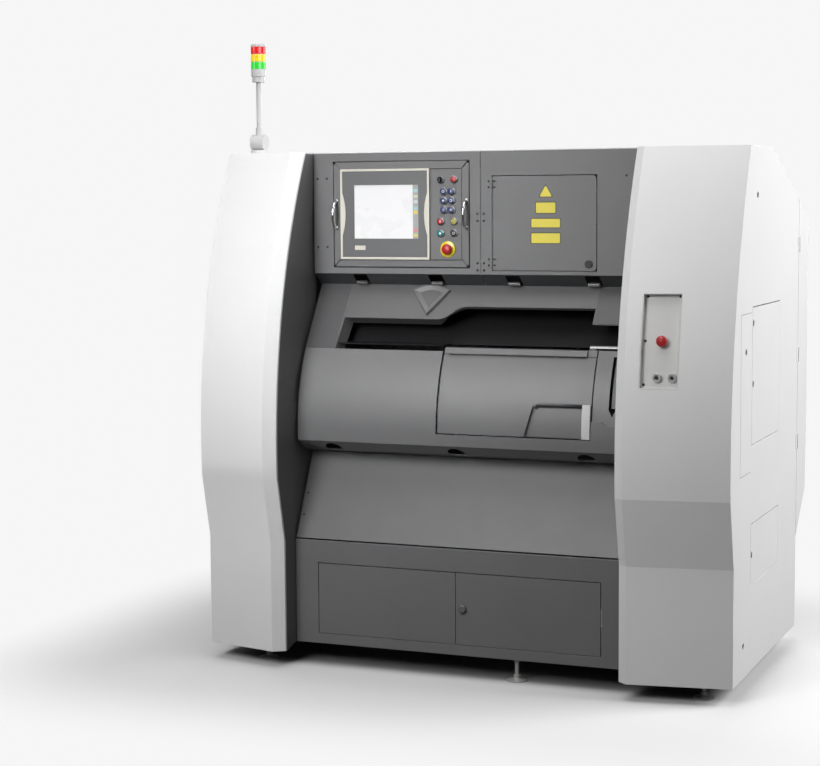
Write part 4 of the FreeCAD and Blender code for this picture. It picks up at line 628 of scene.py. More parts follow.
# %% Trim helpers
def from_curve(name, curve, matrix):
    """Turns a curve into a mesh piece in the frame's place."""
    holder = bpy.data.objects.new(name + "_line", curve)
    bpy.context.scene.collection.objects.link(holder)
    bpy.context.view_layer.update()
    graph = bpy.context.evaluated_depsgraph_get()
    mesh = bpy.data.meshes.new_from_object(holder.evaluated_get(graph))
    mesh.transform(matrix)
    bpy.data.objects.remove(holder)
    bpy.data.curves.remove(curve)
    mesh.name = name
    piece = bpy.data.objects.new(name, mesh)
    bpy.context.scene.collection.objects.link(piece)
    return piece


def filled_curve(name, rings, extrude, edge, offset=0.0):
    """A flat filled outline; the first ring is outside and the others are holes."""
    curve = bpy.data.curves.new(name, "CURVE")
    curve.dimensions, curve.fill_mode = "2D", "BOTH"
    curve.extrude, curve.bevel_depth, curve.offset = extrude, edge, offset
    for ring in rings:
        spline = curve.splines.new("POLY")
        spline.points.add(len(ring) - 1)
        for point, (across, up) in zip(spline.points, ring):
            point.co = (across, up, 0, 1)
        spline.use_cyclic_u = True
    return curve


def ring_faces(rows, around):
    """Faces that join each ring of points to the next."""
    faces = []
    for row in range(rows - 1):
        for step in range(around):
            after = (step + 1) % around
            faces.append((row * around + step, row * around + after,
                          (row + 1) * around + after, (row + 1) * around + step))
    return faces


def sheet_strip(name, rows, thickness, offset=0):
    """A band of sheet between two lines; each row holds a point of one and of the other."""
    strip = add_mesh(name, [point for row in rows for point in row],
                     [(2 * i, 2 * i + 1, 2 * i + 3, 2 * i + 2) for i in range(len(rows) - 1)])
    sheet = strip.modifiers.new("sheet", "SOLIDIFY")
    sheet.thickness, sheet.offset = thickness, offset
    return strip


def middle_of(node_name):
    """A node's box corners, and the middle of its front in x and z."""
    low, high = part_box(node_name)
    return low, high, (low.x + high.x) / 2, (low.z + high.z) / 2


def flat_plate(name, outlines, front, thick, edge, material, body):
    """A plate that faces the front; outlines are rings of (x, z), the first one outside."""
    curve = filled_curve(name, outlines, thick / 2 - edge, edge, -edge)
    curve.bevel_resolution = 1
    stand = Matrix(((1, 0, 0, 0), (0, 0, -1, front + thick / 2), (0, 1, 0, 0), (0, 0, 0, 1)))
    return settle(from_curve(name, curve, stand), material, body)


def rounded_box(x0, x1, z0, z1, radius, steps=5):
    """The ring of points round a rectangle with rounded corners."""
    ring = []
    for cx, cz, first in ((x1 - radius, z1 - radius, 0), (x0 + radius, z1 - radius, 90),
                          (x0 + radius, z0 + radius, 180), (x1 - radius, z0 + radius, 270)):
        for step in range(steps + 1):
            angle = math.radians(first + 90 * step / steps)
            ring.append((cx + radius * math.cos(angle), cz + radius * math.sin(angle)))
    return ring


TOWARDS = {"front": (Vector((1, 0, 0)), Vector((0, 0, 1)), Vector((0, -1, 0))),
           "up": (Vector((1, 0, 0)), Vector((0, 1, 0)), Vector((0, 0, 1))),
           "right": (Vector((0, 1, 0)), Vector((0, 0, 1)), Vector((1, 0, 0))),
           "back": (Vector((-1, 0, 0)), Vector((0, 0, 1)), Vector((0, 1, 0)))}


def turned_part(name, centre, profile, facing, material, body, around=32,
                ribs=0.0):
    """Spins (radius, height) pairs; ribs is how far every other point is drawn in."""
    first, second, out = TOWARDS[facing]
    vertices = []
    for radius, height in profile:
        for step in range(around):
            angle = 2 * math.pi * step / around
            reach = radius - (ribs if step % 2 and radius > 0.02 else 0)
            vertices.append(Vector(centre) + out * height
                            + (first * math.cos(angle) + second * math.sin(angle)) * reach)
    piece = add_mesh(name, vertices, ring_faces(len(profile), around))
    work = bmesh.new()
    work.from_mesh(piece.data)
    bmesh.ops.remove_doubles(work, verts=work.verts, dist=0.000001)
    bmesh.ops.recalc_face_normals(work, faces=work.faces)
    work.to_mesh(piece.data)
    work.free()
    for polygon in piece.data.polygons:
        polygon.use_smooth = ribs == 0
    sharp = piece.modifiers.new("split", "EDGE_SPLIT")
    sharp.split_angle = math.radians(38)
    return settle(piece, material, body)


def bent_rod(name, points, radius, material, body):
    curve = bpy.data.curves.new(name, "CURVE")
    curve.dimensions = "3D"
    curve.bevel_depth, curve.bevel_resolution, curve.use_fill_caps = radius, 6, True
    spline = curve.splines.new("NURBS")
    spline.points.add(len(points) - 1)
    for point, place in zip(spline.points, points):
        point.co = (*place, 1)
    spline.order_u, spline.use_endpoint_u, spline.resolution_u = 3, True, 10
    piece = from_curve(name, curve, Matrix.Identity(4))
    for polygon in piece.data.polygons:
        polygon.use_smooth = True
    return settle(piece, material, body)


print("plate, turned part and bent rod helpers")

# %% [markdown]
# ## The console's frame
# The touch screen and the key plate hang in a frame of four flat bars, mitred at the corners.
# The bars have rounded long edges, a hair gap at each mitre, and the outer corners are left
# open for the hinge pins. Four plates with a generous edge radius give that look.

# %% Console frame
BAR = 29 * MM
NOTCH = 8 * MM
MITRE = 0.7 * MM
low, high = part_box("console_frame")
fx0, fx1, fz0, fz1, frame_front = low.x, high.x, low.z, high.z, low.y
bars = {
    "frame_bar_bottom": [(fx0 + NOTCH, fz0), (fx1 - NOTCH, fz0), (fx1 - NOTCH, fz0 + NOTCH - MITRE),
                         (fx1 - BAR, fz0 + BAR - MITRE), (fx0 + BAR, fz0 + BAR - MITRE),
                         (fx0 + NOTCH, fz0 + NOTCH - MITRE)],
    "frame_bar_top": [(fx0 + NOTCH, fz1), (fx0 + NOTCH, fz1 - NOTCH + MITRE),
                      (fx0 + BAR, fz1 - BAR + MITRE), (fx1 - BAR, fz1 - BAR + MITRE),
                      (fx1 - NOTCH, fz1 - NOTCH + MITRE), (fx1 - NOTCH, fz1)],
    "frame_bar_left": [(fx0, fz0 + NOTCH), (fx0 + NOTCH - MITRE, fz0 + NOTCH),
                       (fx0 + BAR - MITRE, fz0 + BAR), (fx0 + BAR - MITRE, fz1 - BAR),
                       (fx0 + NOTCH - MITRE, fz1 - NOTCH), (fx0, fz1 - NOTCH)],
    "frame_bar_right": [(fx1, fz0 + NOTCH), (fx1, fz1 - NOTCH), (fx1 - NOTCH + MITRE, fz1 - NOTCH),
                        (fx1 - BAR + MITRE, fz1 - BAR), (fx1 - BAR + MITRE, fz0 + BAR),
                        (fx1 - NOTCH + MITRE, fz0 + NOTCH)]}
for bar_name, ring in bars.items():
    bar = flat_plate(bar_name, [ring], frame_front, 12 * MM, 2.6 * MM, "grey_paint", "console")
    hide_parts("console_frame")
# The near-black plate behind the bars is painted shade in the mitre gaps and the open corners.
backing = flat_plate("frame_backing_painted_shade", [rounded_box(fx0 + 1 * MM, fx1 - 1 * MM, fz0 + 1 * MM,
                                                   fz1 - 1 * MM, 1 * MM),
                                       rounded_box(fx0 + 24 * MM, fx1 - 24 * MM,
                                                   fz0 + 24 * MM, fz1 - 24 * MM, 1 * MM)],
                     frame_front + 12.2 * MM, 3 * MM, 0.3 * MM, "gap_painted_shade", "console")
print(len(bars), "frame bars,", round((fx1 - fx0) / MM), "mm wide")

# %% [markdown]
# The button plate sits in the frame with a narrow gap at its top, right and foot. A thin near-black
# band laid over that gap is painted shade; it shows the gap where two close edges alone would blur.

# %% Gap round the button plate
key_low, key_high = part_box("keypad_plate")
GAP = 2.2 * MM
key_top, key_foot = fz1 - BAR + MITRE, fz0 + BAR - MITRE
key_right = fx1 - BAR + MITRE
outer = rounded_box(key_low.x, key_right, key_foot, key_top, 0.6 * MM)
inner = rounded_box(key_low.x + 0.4 * MM, key_right - 0.6 * GAP, key_foot + GAP, key_top - GAP,
                    0.6 * MM)
flat_plate("key_plate_gap_painted_shade", [outer, inner], key_low.y - 0.3 * MM, 0.6 * MM, 0.05 * MM, "gap_painted_shade",
           "console")
print("gap round the button plate", GAP / MM, "mm")

# %% [markdown]
# ## The touch screen
# A moulded ivory rim swells at both sides into a thumb grip. A dark membrane fills the rest of
# the front, with a window for the display, and a strip of soft colour tiles runs down the
# display's right edge. The membrane follows the rim's inner outline.

# %% Rim, membrane, display
rim = finished_copy("hmi_bezel", 1.4 * MM, segments=3)
low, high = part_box("hmi_bezel")
screen_low, screen_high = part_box("hmi_screen")
RIM, SWELL, SWELL_HEIGHT = 9 * MM, 13 * MM, 165 * MM
middle_z = (low.z + high.z) / 2
ix0, ix1, iz0, iz1 = low.x + RIM, high.x - RIM, low.z + RIM, high.z - RIM


def swell_points(x, inward, rising):
    """The bowed side between the two ends of the thumb grip."""
    radius = (SWELL ** 2 + SWELL_HEIGHT ** 2 / 4) / (2 * SWELL)
    half_angle = math.asin(SWELL_HEIGHT / 2 / radius)
    points = []
    for step in range(13):
        angle = half_angle * (2 * step / 12 - 1) * rising
        points.append((x + inward * (SWELL - radius * (1 - math.cos(angle))),
                       middle_z + radius * math.sin(angle)))
    return points


field = ([(ix0, iz0), (ix1, iz0)] + swell_points(ix1, -1, 1) + [(ix1, iz1), (ix0, iz1)]
         + swell_points(ix0, 1, -1))
pane = [(screen_low.x, screen_low.z), (screen_high.x, screen_low.z),
        (screen_high.x, screen_high.z), (screen_low.x, screen_high.z)]
flat_plate("screen_membrane", [field, pane], low.y + 1.4 * MM, 2.4 * MM, 0.3 * MM, "membrane",
           "console")
STRIP = 24 * MM
flat_plate("display_strip", [rounded_box(screen_high.x - STRIP, screen_high.x, screen_low.z,
                                         screen_high.z, 0.5 * MM)],
           screen_low.y - 0.5 * MM, 0.8 * MM, 0.1 * MM, "strip_grey", "console")
TILES = [("tile_teal", 0.86, 0.060), ("tile_sand", 0.76, 0.050), ("tile_mist", 0.655, 0.060),
         ("tile_teal", 0.535, 0.055), ("tile_sun", 0.455, 0.070), ("tile_rose", 0.125, 0.065),
         ("tile_sun", 0.035, 0.055)]
screen_height = screen_high.z - screen_low.z
for index, (tile, level, tall) in enumerate(TILES):
    z0 = screen_low.z + level * screen_height
    flat_plate(f"display_tile_{index}", [rounded_box(screen_high.x - STRIP + 4 * MM,
                                                     screen_high.x - 4 * MM, z0,
                                                     z0 + tall * screen_height, 2 * MM)],
               screen_low.y - 0.9 * MM, 0.6 * MM, 0.1 * MM, tile, "console")
flat_plate("blank_plate_screen", [rounded_box(screen_low.x + 2 * MM, screen_low.x + 47 * MM,
                                              low.z + 37 * MM, low.z + 54 * MM, 1.5 * MM)],
           low.y + 0.7 * MM, 1.0 * MM, 0.3 * MM, "ivory_plastic", "console")
print("rim, membrane, display strip with", len(TILES), "tiles")

# %% [markdown]
# ## Keys
# Each push-button has a dark metal ring and a crowned cap. The rings stay on the key plate; the
# marks ride on the caps, so they move when a button is pressed. Marks here are plain rings,
# dots, bars and a cross. The stop button sits on a yellow disc.

# %% Button rings, marks and stop discs
KEYS = ["red_button_top", "blue_button_1", "blue_button_2", "blue_button_3", "blue_button_4",
        "blue_button_5", "blue_button_6", "red_button_low", "yellow_button", "teal_button",
        "black_button"]
RING_PROFILE = [(11.4 * MM, 0), (15.2 * MM, 0), (15.2 * MM, 1.4 * MM), (14.2 * MM, 2.8 * MM),
                (12.4 * MM, 3.0 * MM), (11.4 * MM, 2.0 * MM)]
plate_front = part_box("keypad_plate")[0].y
MARKED = {"blue_button_1": "ring", "blue_button_2": "bar", "blue_button_3": "dot",
          "blue_button_4": "ring", "blue_button_5": "bar", "blue_button_6": "cross",
          "red_button_low": "bar", "teal_button": "dot", "black_button": "ring",
          "yellow_button": "ring"}
for key in KEYS + ["selector_switch"]:
    low, high, x, z = middle_of(key)
    turned_part(key + "_ring", (x, plate_front, z), RING_PROFILE, "front", "ring_metal",
                "console", around=40)
    mark = MARKED.get(key)
    body = BODY_OF[key]
    top = low.y - 0.15 * MM
    shade = "mark_white" if key != "yellow_button" else "mark_dark"
    if mark == "ring":
        turned_part(key + "_mark", (x, top + 0.5 * MM, z),
                    [(3.4 * MM, 0), (5.2 * MM, 0), (5.2 * MM, 0.5 * MM), (3.4 * MM, 0.5 * MM),
                     (3.4 * MM, 0)], "front", shade, body, around=28)
    elif mark == "dot":
        turned_part(key + "_mark", (x, top + 0.5 * MM, z),
                    [(3.6 * MM, 0), (3.6 * MM, 0.5 * MM), (0, 0.5 * MM)], "front", shade, body,
                    around=28)
    elif mark:
        flat_plate(key + "_mark", [rounded_box(x - 1.2 * MM, x + 1.2 * MM, z - 5 * MM,
                                               z + 5 * MM, 0.6 * MM)], top, 0.5 * MM,
                   0.1 * MM, shade, body)
        if mark == "cross":
            flat_plate(key + "_mark_across", [rounded_box(x - 5 * MM, x + 5 * MM,
                                                          z - 1.2 * MM, z + 1.2 * MM,
                                                          0.6 * MM)], top - 0.02 * MM,
                       0.5 * MM, 0.1 * MM, shade, body)
low, high, stop_x, stop_z = middle_of("console_stop")
turned_part("stop_disc", (stop_x, plate_front + 2 * MM, stop_z),
            [(9.6 * MM, 0), (31 * MM, 0), (31 * MM, 2.2 * MM), (30 * MM, 2.9 * MM),
             (9.6 * MM, 2.9 * MM)], "front", "stop_yellow", "console",
            around=56)
print(len(KEYS), "buttons ringed,", len(MARKED), "marked")

# %% [markdown]
# ## Bow handles
# Two bent chrome rods pull the console open. Each is one smooth curve from foot to foot, so a
# single NURBS line with a round section makes it, with a small turned foot at each end.

# %% Console handles
low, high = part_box("console_handles")
HANDLE_ROD = 6.0 * MM
for side, x in (("left", low.x + 6 * MM), ("right", high.x - 6 * MM)):
    foot_y, crown_y = frame_front, low.y + HANDLE_ROD
    bottom, top = low.z + 7 * MM, high.z - 7 * MM
    rise = top - bottom
    line = [(x, foot_y, bottom), (x, foot_y - 16 * MM, bottom + 3 * MM),
            (x, crown_y + 2 * MM, bottom + 0.26 * rise), (x, crown_y, bottom + 0.42 * rise),
            (x, crown_y, bottom + 0.58 * rise), (x, crown_y + 2 * MM, bottom + 0.74 * rise),
            (x, foot_y - 16 * MM, top - 3 * MM), (x, foot_y, top)]
    rod = bent_rod(f"handle_rod_{side}", line, HANDLE_ROD, "chrome", "console")
    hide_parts("console_handles")
    for end, z in (("low", bottom), ("high", top)):
        turned_part(f"handle_foot_{side}_{end}", (x, foot_y, z),
                    [(8 * MM, 0), (8 * MM, 1.2 * MM), (6.6 * MM, 2.4 * MM), (0, 2.4 * MM)],
                    "front", "chrome", "console")
print("handles stand", round((frame_front - low.y) / MM), "mm proud")

# %% [markdown]
# ## The sloping hood
# The sheet over the window is one flat slope, so its trim is easiest to make on that slope's
# own axes: across the machine, up the slope, and out of it. The window's edge is folded
# inwards, which gives the opening its depth. End plates overlap the sheet at both ends.

# %% Slope axes and window lining
low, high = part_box("hood_header")
SLOPE_UP = Vector((0, 0.158, 0.244)).normalized()
SLOPE_OUT = Vector((0, -SLOPE_UP.z, SLOPE_UP.y))
slope_foot = Vector((0, low.y, low.z))
bay_left, bay_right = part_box("slanted_panel")[0].x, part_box("slanted_panel")[1].x


def on_slope(x, z, out=0.0):
    """The point at width x and height z on the slope, then moved out of it."""
    return (slope_foot + Vector((x, 0, 0)) + SLOPE_UP * ((z - slope_foot.z) / SLOPE_UP.z)
            + SLOPE_OUT * out)


def slope_plate(name, ring, thick, edge, material):
    along = [(x, (z - slope_foot.z) / SLOPE_UP.z) for x, z in ring]
    curve = filled_curve(name, [along], thick / 2 - edge, edge, -edge)
    origin = slope_foot + SLOPE_OUT * (thick / 2)
    stand = Matrix(((1, 0, 0, 0), (0, SLOPE_UP.y, SLOPE_OUT.y, origin.y),
                    (0, SLOPE_UP.z, SLOPE_OUT.z, origin.z), (0, 0, 0, 1)))
    return settle(from_curve(name, curve, stand), material, "cabinet")


WINDOW_TOP, WINDOW_HIGH, BLOCK_FOOT = 1.347, 1.395, 1.337
step_start, step_end = bay_left + 0.532, bay_left + 0.639
block_left = bay_right - 0.182
opening = [(bay_left + 0.129, low.z + 0.002), (bay_left + 0.140, WINDOW_TOP)]
for share in range(13):
    t = share / 12
    ease = t * t * (3 - 2 * t)
    opening.append((step_start + (step_end - step_start) * t,
                    WINDOW_TOP + (WINDOW_HIGH - WINDOW_TOP) * ease))
opening += [(block_left, WINDOW_HIGH), (block_left, BLOCK_FOOT), (high.x, BLOCK_FOOT)]
LINING_DEPTH, LINING_LEAN = 0.042, 0.020
DRUM_Y, DRUM_Z, DOOR_SWEEP = 0.1245, 0.920, 0.6290


def lining_depth(x, z):
    """The fold's depth at a point on the window's edge; the lifted door passes behind it."""
    edge = on_slope(x, z)
    room = math.hypot(edge.y - DRUM_Y, edge.z - DRUM_Z) - DOOR_SWEEP
    passing = min(max((x - step_start) / 0.040, 0), 1)
    return LINING_DEPTH + (min(room, LINING_DEPTH) - LINING_DEPTH) * passing


rows = []
for x, z in opening:
    lean = LINING_LEAN if x < bay_left + 0.141 else 0
    rows.append([on_slope(x, z, -0.0008), on_slope(x + lean, z, -lining_depth(x, z))])
lining = sheet_strip("window_lining", rows, 0.002)
settle(lining, "dark_paint", "cabinet")
print("lining follows", len(opening), "points")

# %% End plates
# The end plates' darkest grey is a painted shade.
END_SHEET = 1.6 * MM
slope_plate("hood_end_left", [(low.x, low.z + 0.001), (bay_left + 0.1265, low.z + 0.001),
                              (bay_left + 0.134, high.z - 0.001), (low.x, high.z - 0.001)],
            END_SHEET, 0.5 * MM, "dark_grey_and_painted_shade")
slope_plate("hood_end_right", [(block_left - 0.002, BLOCK_FOOT + 0.001),
                               (high.x, BLOCK_FOOT + 0.001), (high.x, high.z - 0.001),
                               (block_left + 0.001, high.z - 0.001)],
            END_SHEET, 0.5 * MM, "dark_grey_and_painted_shade")
print("end plates", END_SHEET / MM, "mm thick")

# %% [markdown]
# ## The hood's badge
# A plain fan-shaped moulding sits on the slope. It has a raised rim and an inside that falls
# in facets to a flat. Rings of points, each drawn in towards the middle and set to its own
# height, make the rim, the facets and the flat in one mesh.

# %% Fan badge
BADGE_MIDDLE, BADGE_HALF = bay_left + 0.483, 0.078
BADGE_APEX, BADGE_SHOULDER, BADGE_CROWN = 1.359, 1.451, 1.471
edge_ring = [(BADGE_MIDDLE, BADGE_APEX), (BADGE_MIDDLE + BADGE_HALF, BADGE_SHOULDER)]
for share in range(1, 12):
    t = 1 - 2 * share / 12
    edge_ring.append((BADGE_MIDDLE + BADGE_HALF * t,
                      BADGE_SHOULDER + (BADGE_CROWN - BADGE_SHOULDER) * (1 - t * t)))
edge_ring.append((BADGE_MIDDLE - BADGE_HALF, BADGE_SHOULDER))
heart_z = 1.428
badge_rows = [(0.995, 2.0), (1.0, 9.0), (0.96, 11.4), (0.88, 11.4), (0.84, 10.2), (0.52, 4.0),
              (0.46, 3.6), (0.02, 3.6)]
vertices = []
for scale, out in badge_rows:
    vertices += [on_slope(BADGE_MIDDLE + (x - BADGE_MIDDLE) * scale,
                          heart_z + (z - heart_z) * scale, out * MM) for x, z in edge_ring]
count = len(edge_ring)
faces = ring_faces(len(badge_rows), count)
faces.append(tuple(range((len(badge_rows) - 1) * count, len(badge_rows) * count)))
badge = add_mesh("fan_badge", vertices, faces)
soften(badge, 1.0 * MM, angle=24)
settle(badge, "grey_paint", "cabinet")
print("badge rings", len(badge_rows))

# %% [markdown]
# ## The chamber door's pocket
# The lower right of the door is pressed in, beside the grip. The pressing's upper wall slopes;
# its near-black paint is a painted shade, a dark band that narrows to nothing down the left side.
# A strip of faces runs from the door's outer curve in to the pocket's floor, with each point set on
# its own radius.

# %% Pocket wall
door_low, door_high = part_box("chamber_door")
GRIP_WIDTH, POCKET_WIDTH, POCKET_FLOOR = 0.032, 0.224, 0.0068
DOOR_RADIUS, POCKET_TOP, POCKET_FOOT = 0.627, 1.0500, door_low.z + 0.002
WALL_WIDTH, CORNER = 0.0125, 0.024
pocket_right = door_high.x - GRIP_WIDTH - 0.001
pocket_left = pocket_right + 0.001 - POCKET_WIDTH


def on_drum(x, z, radius):
    """The point of the drum's front at width x, height z and a distance from its axis."""
    return Vector((x, DRUM_Y - math.sqrt(radius ** 2 - (z - DRUM_Z) ** 2), z))


outer = [(pocket_left, POCKET_FOOT), (pocket_left + 0.026, POCKET_FOOT + 0.094)]
for share in range(1, 7):
    turned = math.radians(15 + 75 * share / 6)
    outer.append((pocket_left + 0.052 - CORNER * math.cos(turned),
                  POCKET_TOP - CORNER + CORNER * math.sin(turned)))
outer += [(pocket_left + 0.12, POCKET_TOP), (pocket_right, POCKET_TOP)]
rows = []
for index, (x, z) in enumerate(outer):
    width = WALL_WIDTH * min(index / 3, 1)
    across = 0.75 * width if index < 5 else 0.1 * width
    down = 0.35 * width if index < 3 else width
    rows.append([on_drum(x, z, DOOR_RADIUS - 0.0006),
                 on_drum(x + across, z - down, DOOR_RADIUS - POCKET_FLOOR)])
pocket_wall_painted_shade = sheet_strip("pocket_wall_painted_shade", rows, 0.8 * MM)
for polygon in pocket_wall_painted_shade.data.polygons:
    polygon.use_smooth = True
# The wall's near-black paint is a painted shade.
settle(pocket_wall_painted_shade, "frame_paint", "chamber_door_leaf")
print("pocket wall", round((pocket_right - pocket_left) / MM), "mm wide")

# %% [markdown]
# ## One node, two finishes
# The lifting arms are painted like the hood, but the rod between them is bright steel. The
# hinges on the back are white, like the doors they carry, while the small ones on the laser
# door are grey. The upper fascia's downward face takes a near-black paint: a painted shade.
# Each mesh's faces are sorted by where they are and which way they face.

# %% Arms and hinges
def second_finish(piece, material, slot_index_for):
    """Gives the second finish to the faces for which slot_index_for(middle, normal) is 1."""
    piece.data.materials.append(FINISHES[material])
    for polygon in piece.data.polygons:
        polygon.material_index = slot_index_for(polygon.center, polygon.normal)


arm = finished_copy("door_arm", 0.8 * MM)
ROD_Y, ROD_Z, ROD_REACH = -0.3585, 1.250, 0.0112
arm.data.materials[0] = FINISHES["dark_grey_and_painted_shade"]
second_finish(arm, "bright_steel",
              lambda at, out: int(math.hypot(at.y - ROD_Y, at.z - ROD_Z) < ROD_REACH))
hinges = finished_copy("door_hinges", 0.3 * MM)
hinges.data.materials[0] = FINISHES["grey_paint"]
second_finish(hinges, "white_paint", lambda at, out: int(abs(at.x) > 1.02))
# Painted shade: the fascia's underside, which faces down, takes the near-black frame paint.
SOFFIT_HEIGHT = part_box("upper_fascia")[0].z + 0.040
second_finish(COPIES["upper_fascia"], "frame_paint",
              lambda at, out: int(at.z < SOFFIT_HEIGHT and out.z < -0.5))
print("arms, hinges and upper fascia sorted into two finishes each")

# %% [markdown]
# ## The laser door
# Four blank yellow plates mark the door over the optics. Each is a thin plate with a dark
# printed border, so a slightly larger dark plate lies under it. Black screws hold the hinge
# leaves.

# %% Plates and hinge screws
door_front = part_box("upper_fascia")[0].y
PLATE_MIDDLE, HINGE_MIDDLE = 0.260, 0.0465
TRIANGLE_FOOT, TRIANGLE_HALF, BORDER = 1.812, 0.025, 2.6 * MM


def blank_plate(name, ring_out, ring_in):
    flat_plate(name + "_border", [ring_out], door_front - 0.5 * MM, 0.6 * MM, 0.1 * MM,
               "plate_rim", "laser_door_leaf")
    flat_plate(name, [ring_in], door_front - 0.8 * MM, 0.6 * MM, 0.1 * MM, "label_yellow",
               "laser_door_leaf")


def triangle(x_middle, z_foot, half, grow):
    """A triangle with cut corners, grown on every side."""
    tall, nip = 1.72 * half, 4 * MM
    corners = [(x_middle - half - 1.7 * grow, z_foot - grow),
               (x_middle + half + 1.7 * grow, z_foot - grow),
               (x_middle, z_foot + tall + 2 * grow)]
    ring = []
    for index, corner in enumerate(corners):
        for other in (corners[index - 1], corners[(index + 1) % 3]):
            reach = math.dist(corner, other)
            ring.append((corner[0] + (other[0] - corner[0]) * nip / reach,
                         corner[1] + (other[1] - corner[1]) * nip / reach))
    return ring


blank_plate("plate_triangle", triangle(PLATE_MIDDLE, TRIANGLE_FOOT, TRIANGLE_HALF, BORDER),
            triangle(PLATE_MIDDLE, TRIANGLE_FOOT, TRIANGLE_HALF, 0))
BAR_PLATES = ((0.0385, 1.751, 1.790), (0.0565, 1.697, 1.729), (0.0565, 1.638, 1.675))
for index, (half, z0, z1) in enumerate(BAR_PLATES):
    x = PLATE_MIDDLE
    blank_plate(f"plate_{index}", rounded_box(x - half - 3 * MM, x + half + 3 * MM,
                                              z0 - 3 * MM, z1 + 3 * MM, 5 * MM),
                rounded_box(x - half, x + half, z0, z1, 3 * MM))
SCREW = [(4.2 * MM, 0), (4.2 * MM, 0.8 * MM), (3.4 * MM, 1.9 * MM), (1.6 * MM, 2.3 * MM),
         (1.6 * MM, 1.2 * MM), (0, 1.2 * MM)]
HINGE_HEIGHTS, SLANT_SCREW_HEIGHTS = (1.565, 1.860), (0.659, 0.579)
for hinge_z in HINGE_HEIGHTS:
    for dx, body in ((-0.0135, "cabinet"), (0.0095, "laser_door_leaf")):
        for dz in (-0.0115, 0.0115):
            turned_part(f"hinge_screw_{'fixed' if dx < 0 else 'moving'}_{hinge_z:.2f}_{dz:.3f}",
                        (HINGE_MIDDLE + dx, door_front - 2 * MM, hinge_z + dz), SCREW,
                        "front", "rubber", body, around=16)
for z in SLANT_SCREW_HEIGHTS:
    slant_low, slant_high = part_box("slanted_panel")
    share = (z - slant_low.z) / (slant_high.z - slant_low.z)
    y = slant_low.y + (slant_high.y - 3 * MM - slant_low.y) * share
    turned_part(f"slant_screw_{z:.3f}", (bay_left + 0.015, y + 0.6 * MM, z),
                [(4.6 * MM, 0), (4.2 * MM, 1.6 * MM), (2.4 * MM, 2.8 * MM), (0, 3.2 * MM)],
                "front", "black_steel", "cabinet", around=18)
print("four blank plates, eight hinge screws, two panel screws")

# %% [markdown]
# ## The right column's niche
# A shallow painted pan is let into the column. A raised inner panel carries a stop button and
# two key switches. The column's face is curved, so the inner panel is a grid whose points
# follow the same curve, set back into the pan.

# %% Niche panel, lock faces
niche_low, niche_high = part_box("niche_plate")
FACE_RADIUS, FACE_MIDDLE, FACE_CHORD = 2.430, 0.850, 2.370
FACE_FRONT, FACE_STEP = -0.6225, 0.028
FACE_EDGE, FACE_TAPER, FACE_WIDTH = 0.671, 0.060, 0.376


def column_face(x, z):
    """How far forward the right column's curved front stands, in the frame's y."""
    drawn_back = FACE_CHORD - math.sqrt(FACE_RADIUS ** 2 - (z - FACE_MIDDLE) ** 2)
    return (FACE_FRONT + drawn_back - FACE_STEP
            + (x - FACE_EDGE) * FACE_TAPER / FACE_WIDTH)


PANEL_INSET, PANEL_PROUD = 0.013, 1.2 * MM
panel_x = [niche_low.x + PANEL_INSET, niche_high.x - 0.010]
panel_z = [niche_low.z + PANEL_INSET, niche_high.z - PANEL_INSET]
PANEL_STEPS, NICHE_DEPTH = 24, 25 * MM
rows = []
for step in range(PANEL_STEPS + 1):
    z = panel_z[0] + (panel_z[1] - panel_z[0]) * step / PANEL_STEPS
    rows.append([(x, column_face(x, z) + NICHE_DEPTH - PANEL_PROUD, z) for x in panel_x])
panel = sheet_strip("niche_panel", rows, 1.0 * MM, offset=-1)
soften(panel, 0.4 * MM)
settle(panel, "niche_plastic", "cabinet")
for node_name in ("column_lock_left", "column_lock_right"):
    low, high, x, z = middle_of(node_name)
    turned_part(node_name + "_rim", (x, low.y + 0.3 * MM, z),
                [(15.6 * MM, 0), (14.6 * MM, 1.2 * MM), (10 * MM, 1.2 * MM), (9 * MM, 0.2 * MM)],
                "front", "satin_nickel", BODY_OF[node_name], around=40)
    turned_part(node_name + "_key", (x, low.y + 0.2 * MM, z),
                [(6.4 * MM, 0), (6.0 * MM, 0.9 * MM), (0, 0.9 * MM)], "front", "rubber",
                BODY_OF[node_name], around=28)
print("niche panel", round((panel_z[1] - panel_z[0]) / MM), "mm tall")

# %% [markdown]
# ## The right side
# Quarter-turn locks hold the side covers, and each side door has a small flush latch. A lock
# is a turned cup with a dark bar in it. The edge of the front hatch shows only as a hairline.

# %% Quarter-turn locks and latches
side_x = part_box("right_front_cover")[1].x
BAR_EDGE = 0.2 * MM


def flush_bar(name, facing, centre, half_across, half_up, out, material, body):
    """A small rounded bar that lies flat on a face of the cabinet."""
    ring = rounded_box(-half_across, half_across, -half_up, half_up,
                       0.8 * min(half_across, half_up))
    curve = filled_curve(name, [ring], out / 2, BAR_EDGE)
    first, second, away = TOWARDS[facing]
    stand = Matrix((first, second, away)).transposed().to_4x4()
    stand.translation = Vector(centre) + away * (out / 2)
    return settle(from_curve(name, curve, stand), material, body)


def side_bar(name, y, z, half_y, half_z, out, material, body):
    return flush_bar(name, "right", (side_x, y, z), half_y, half_z, out, material, body)


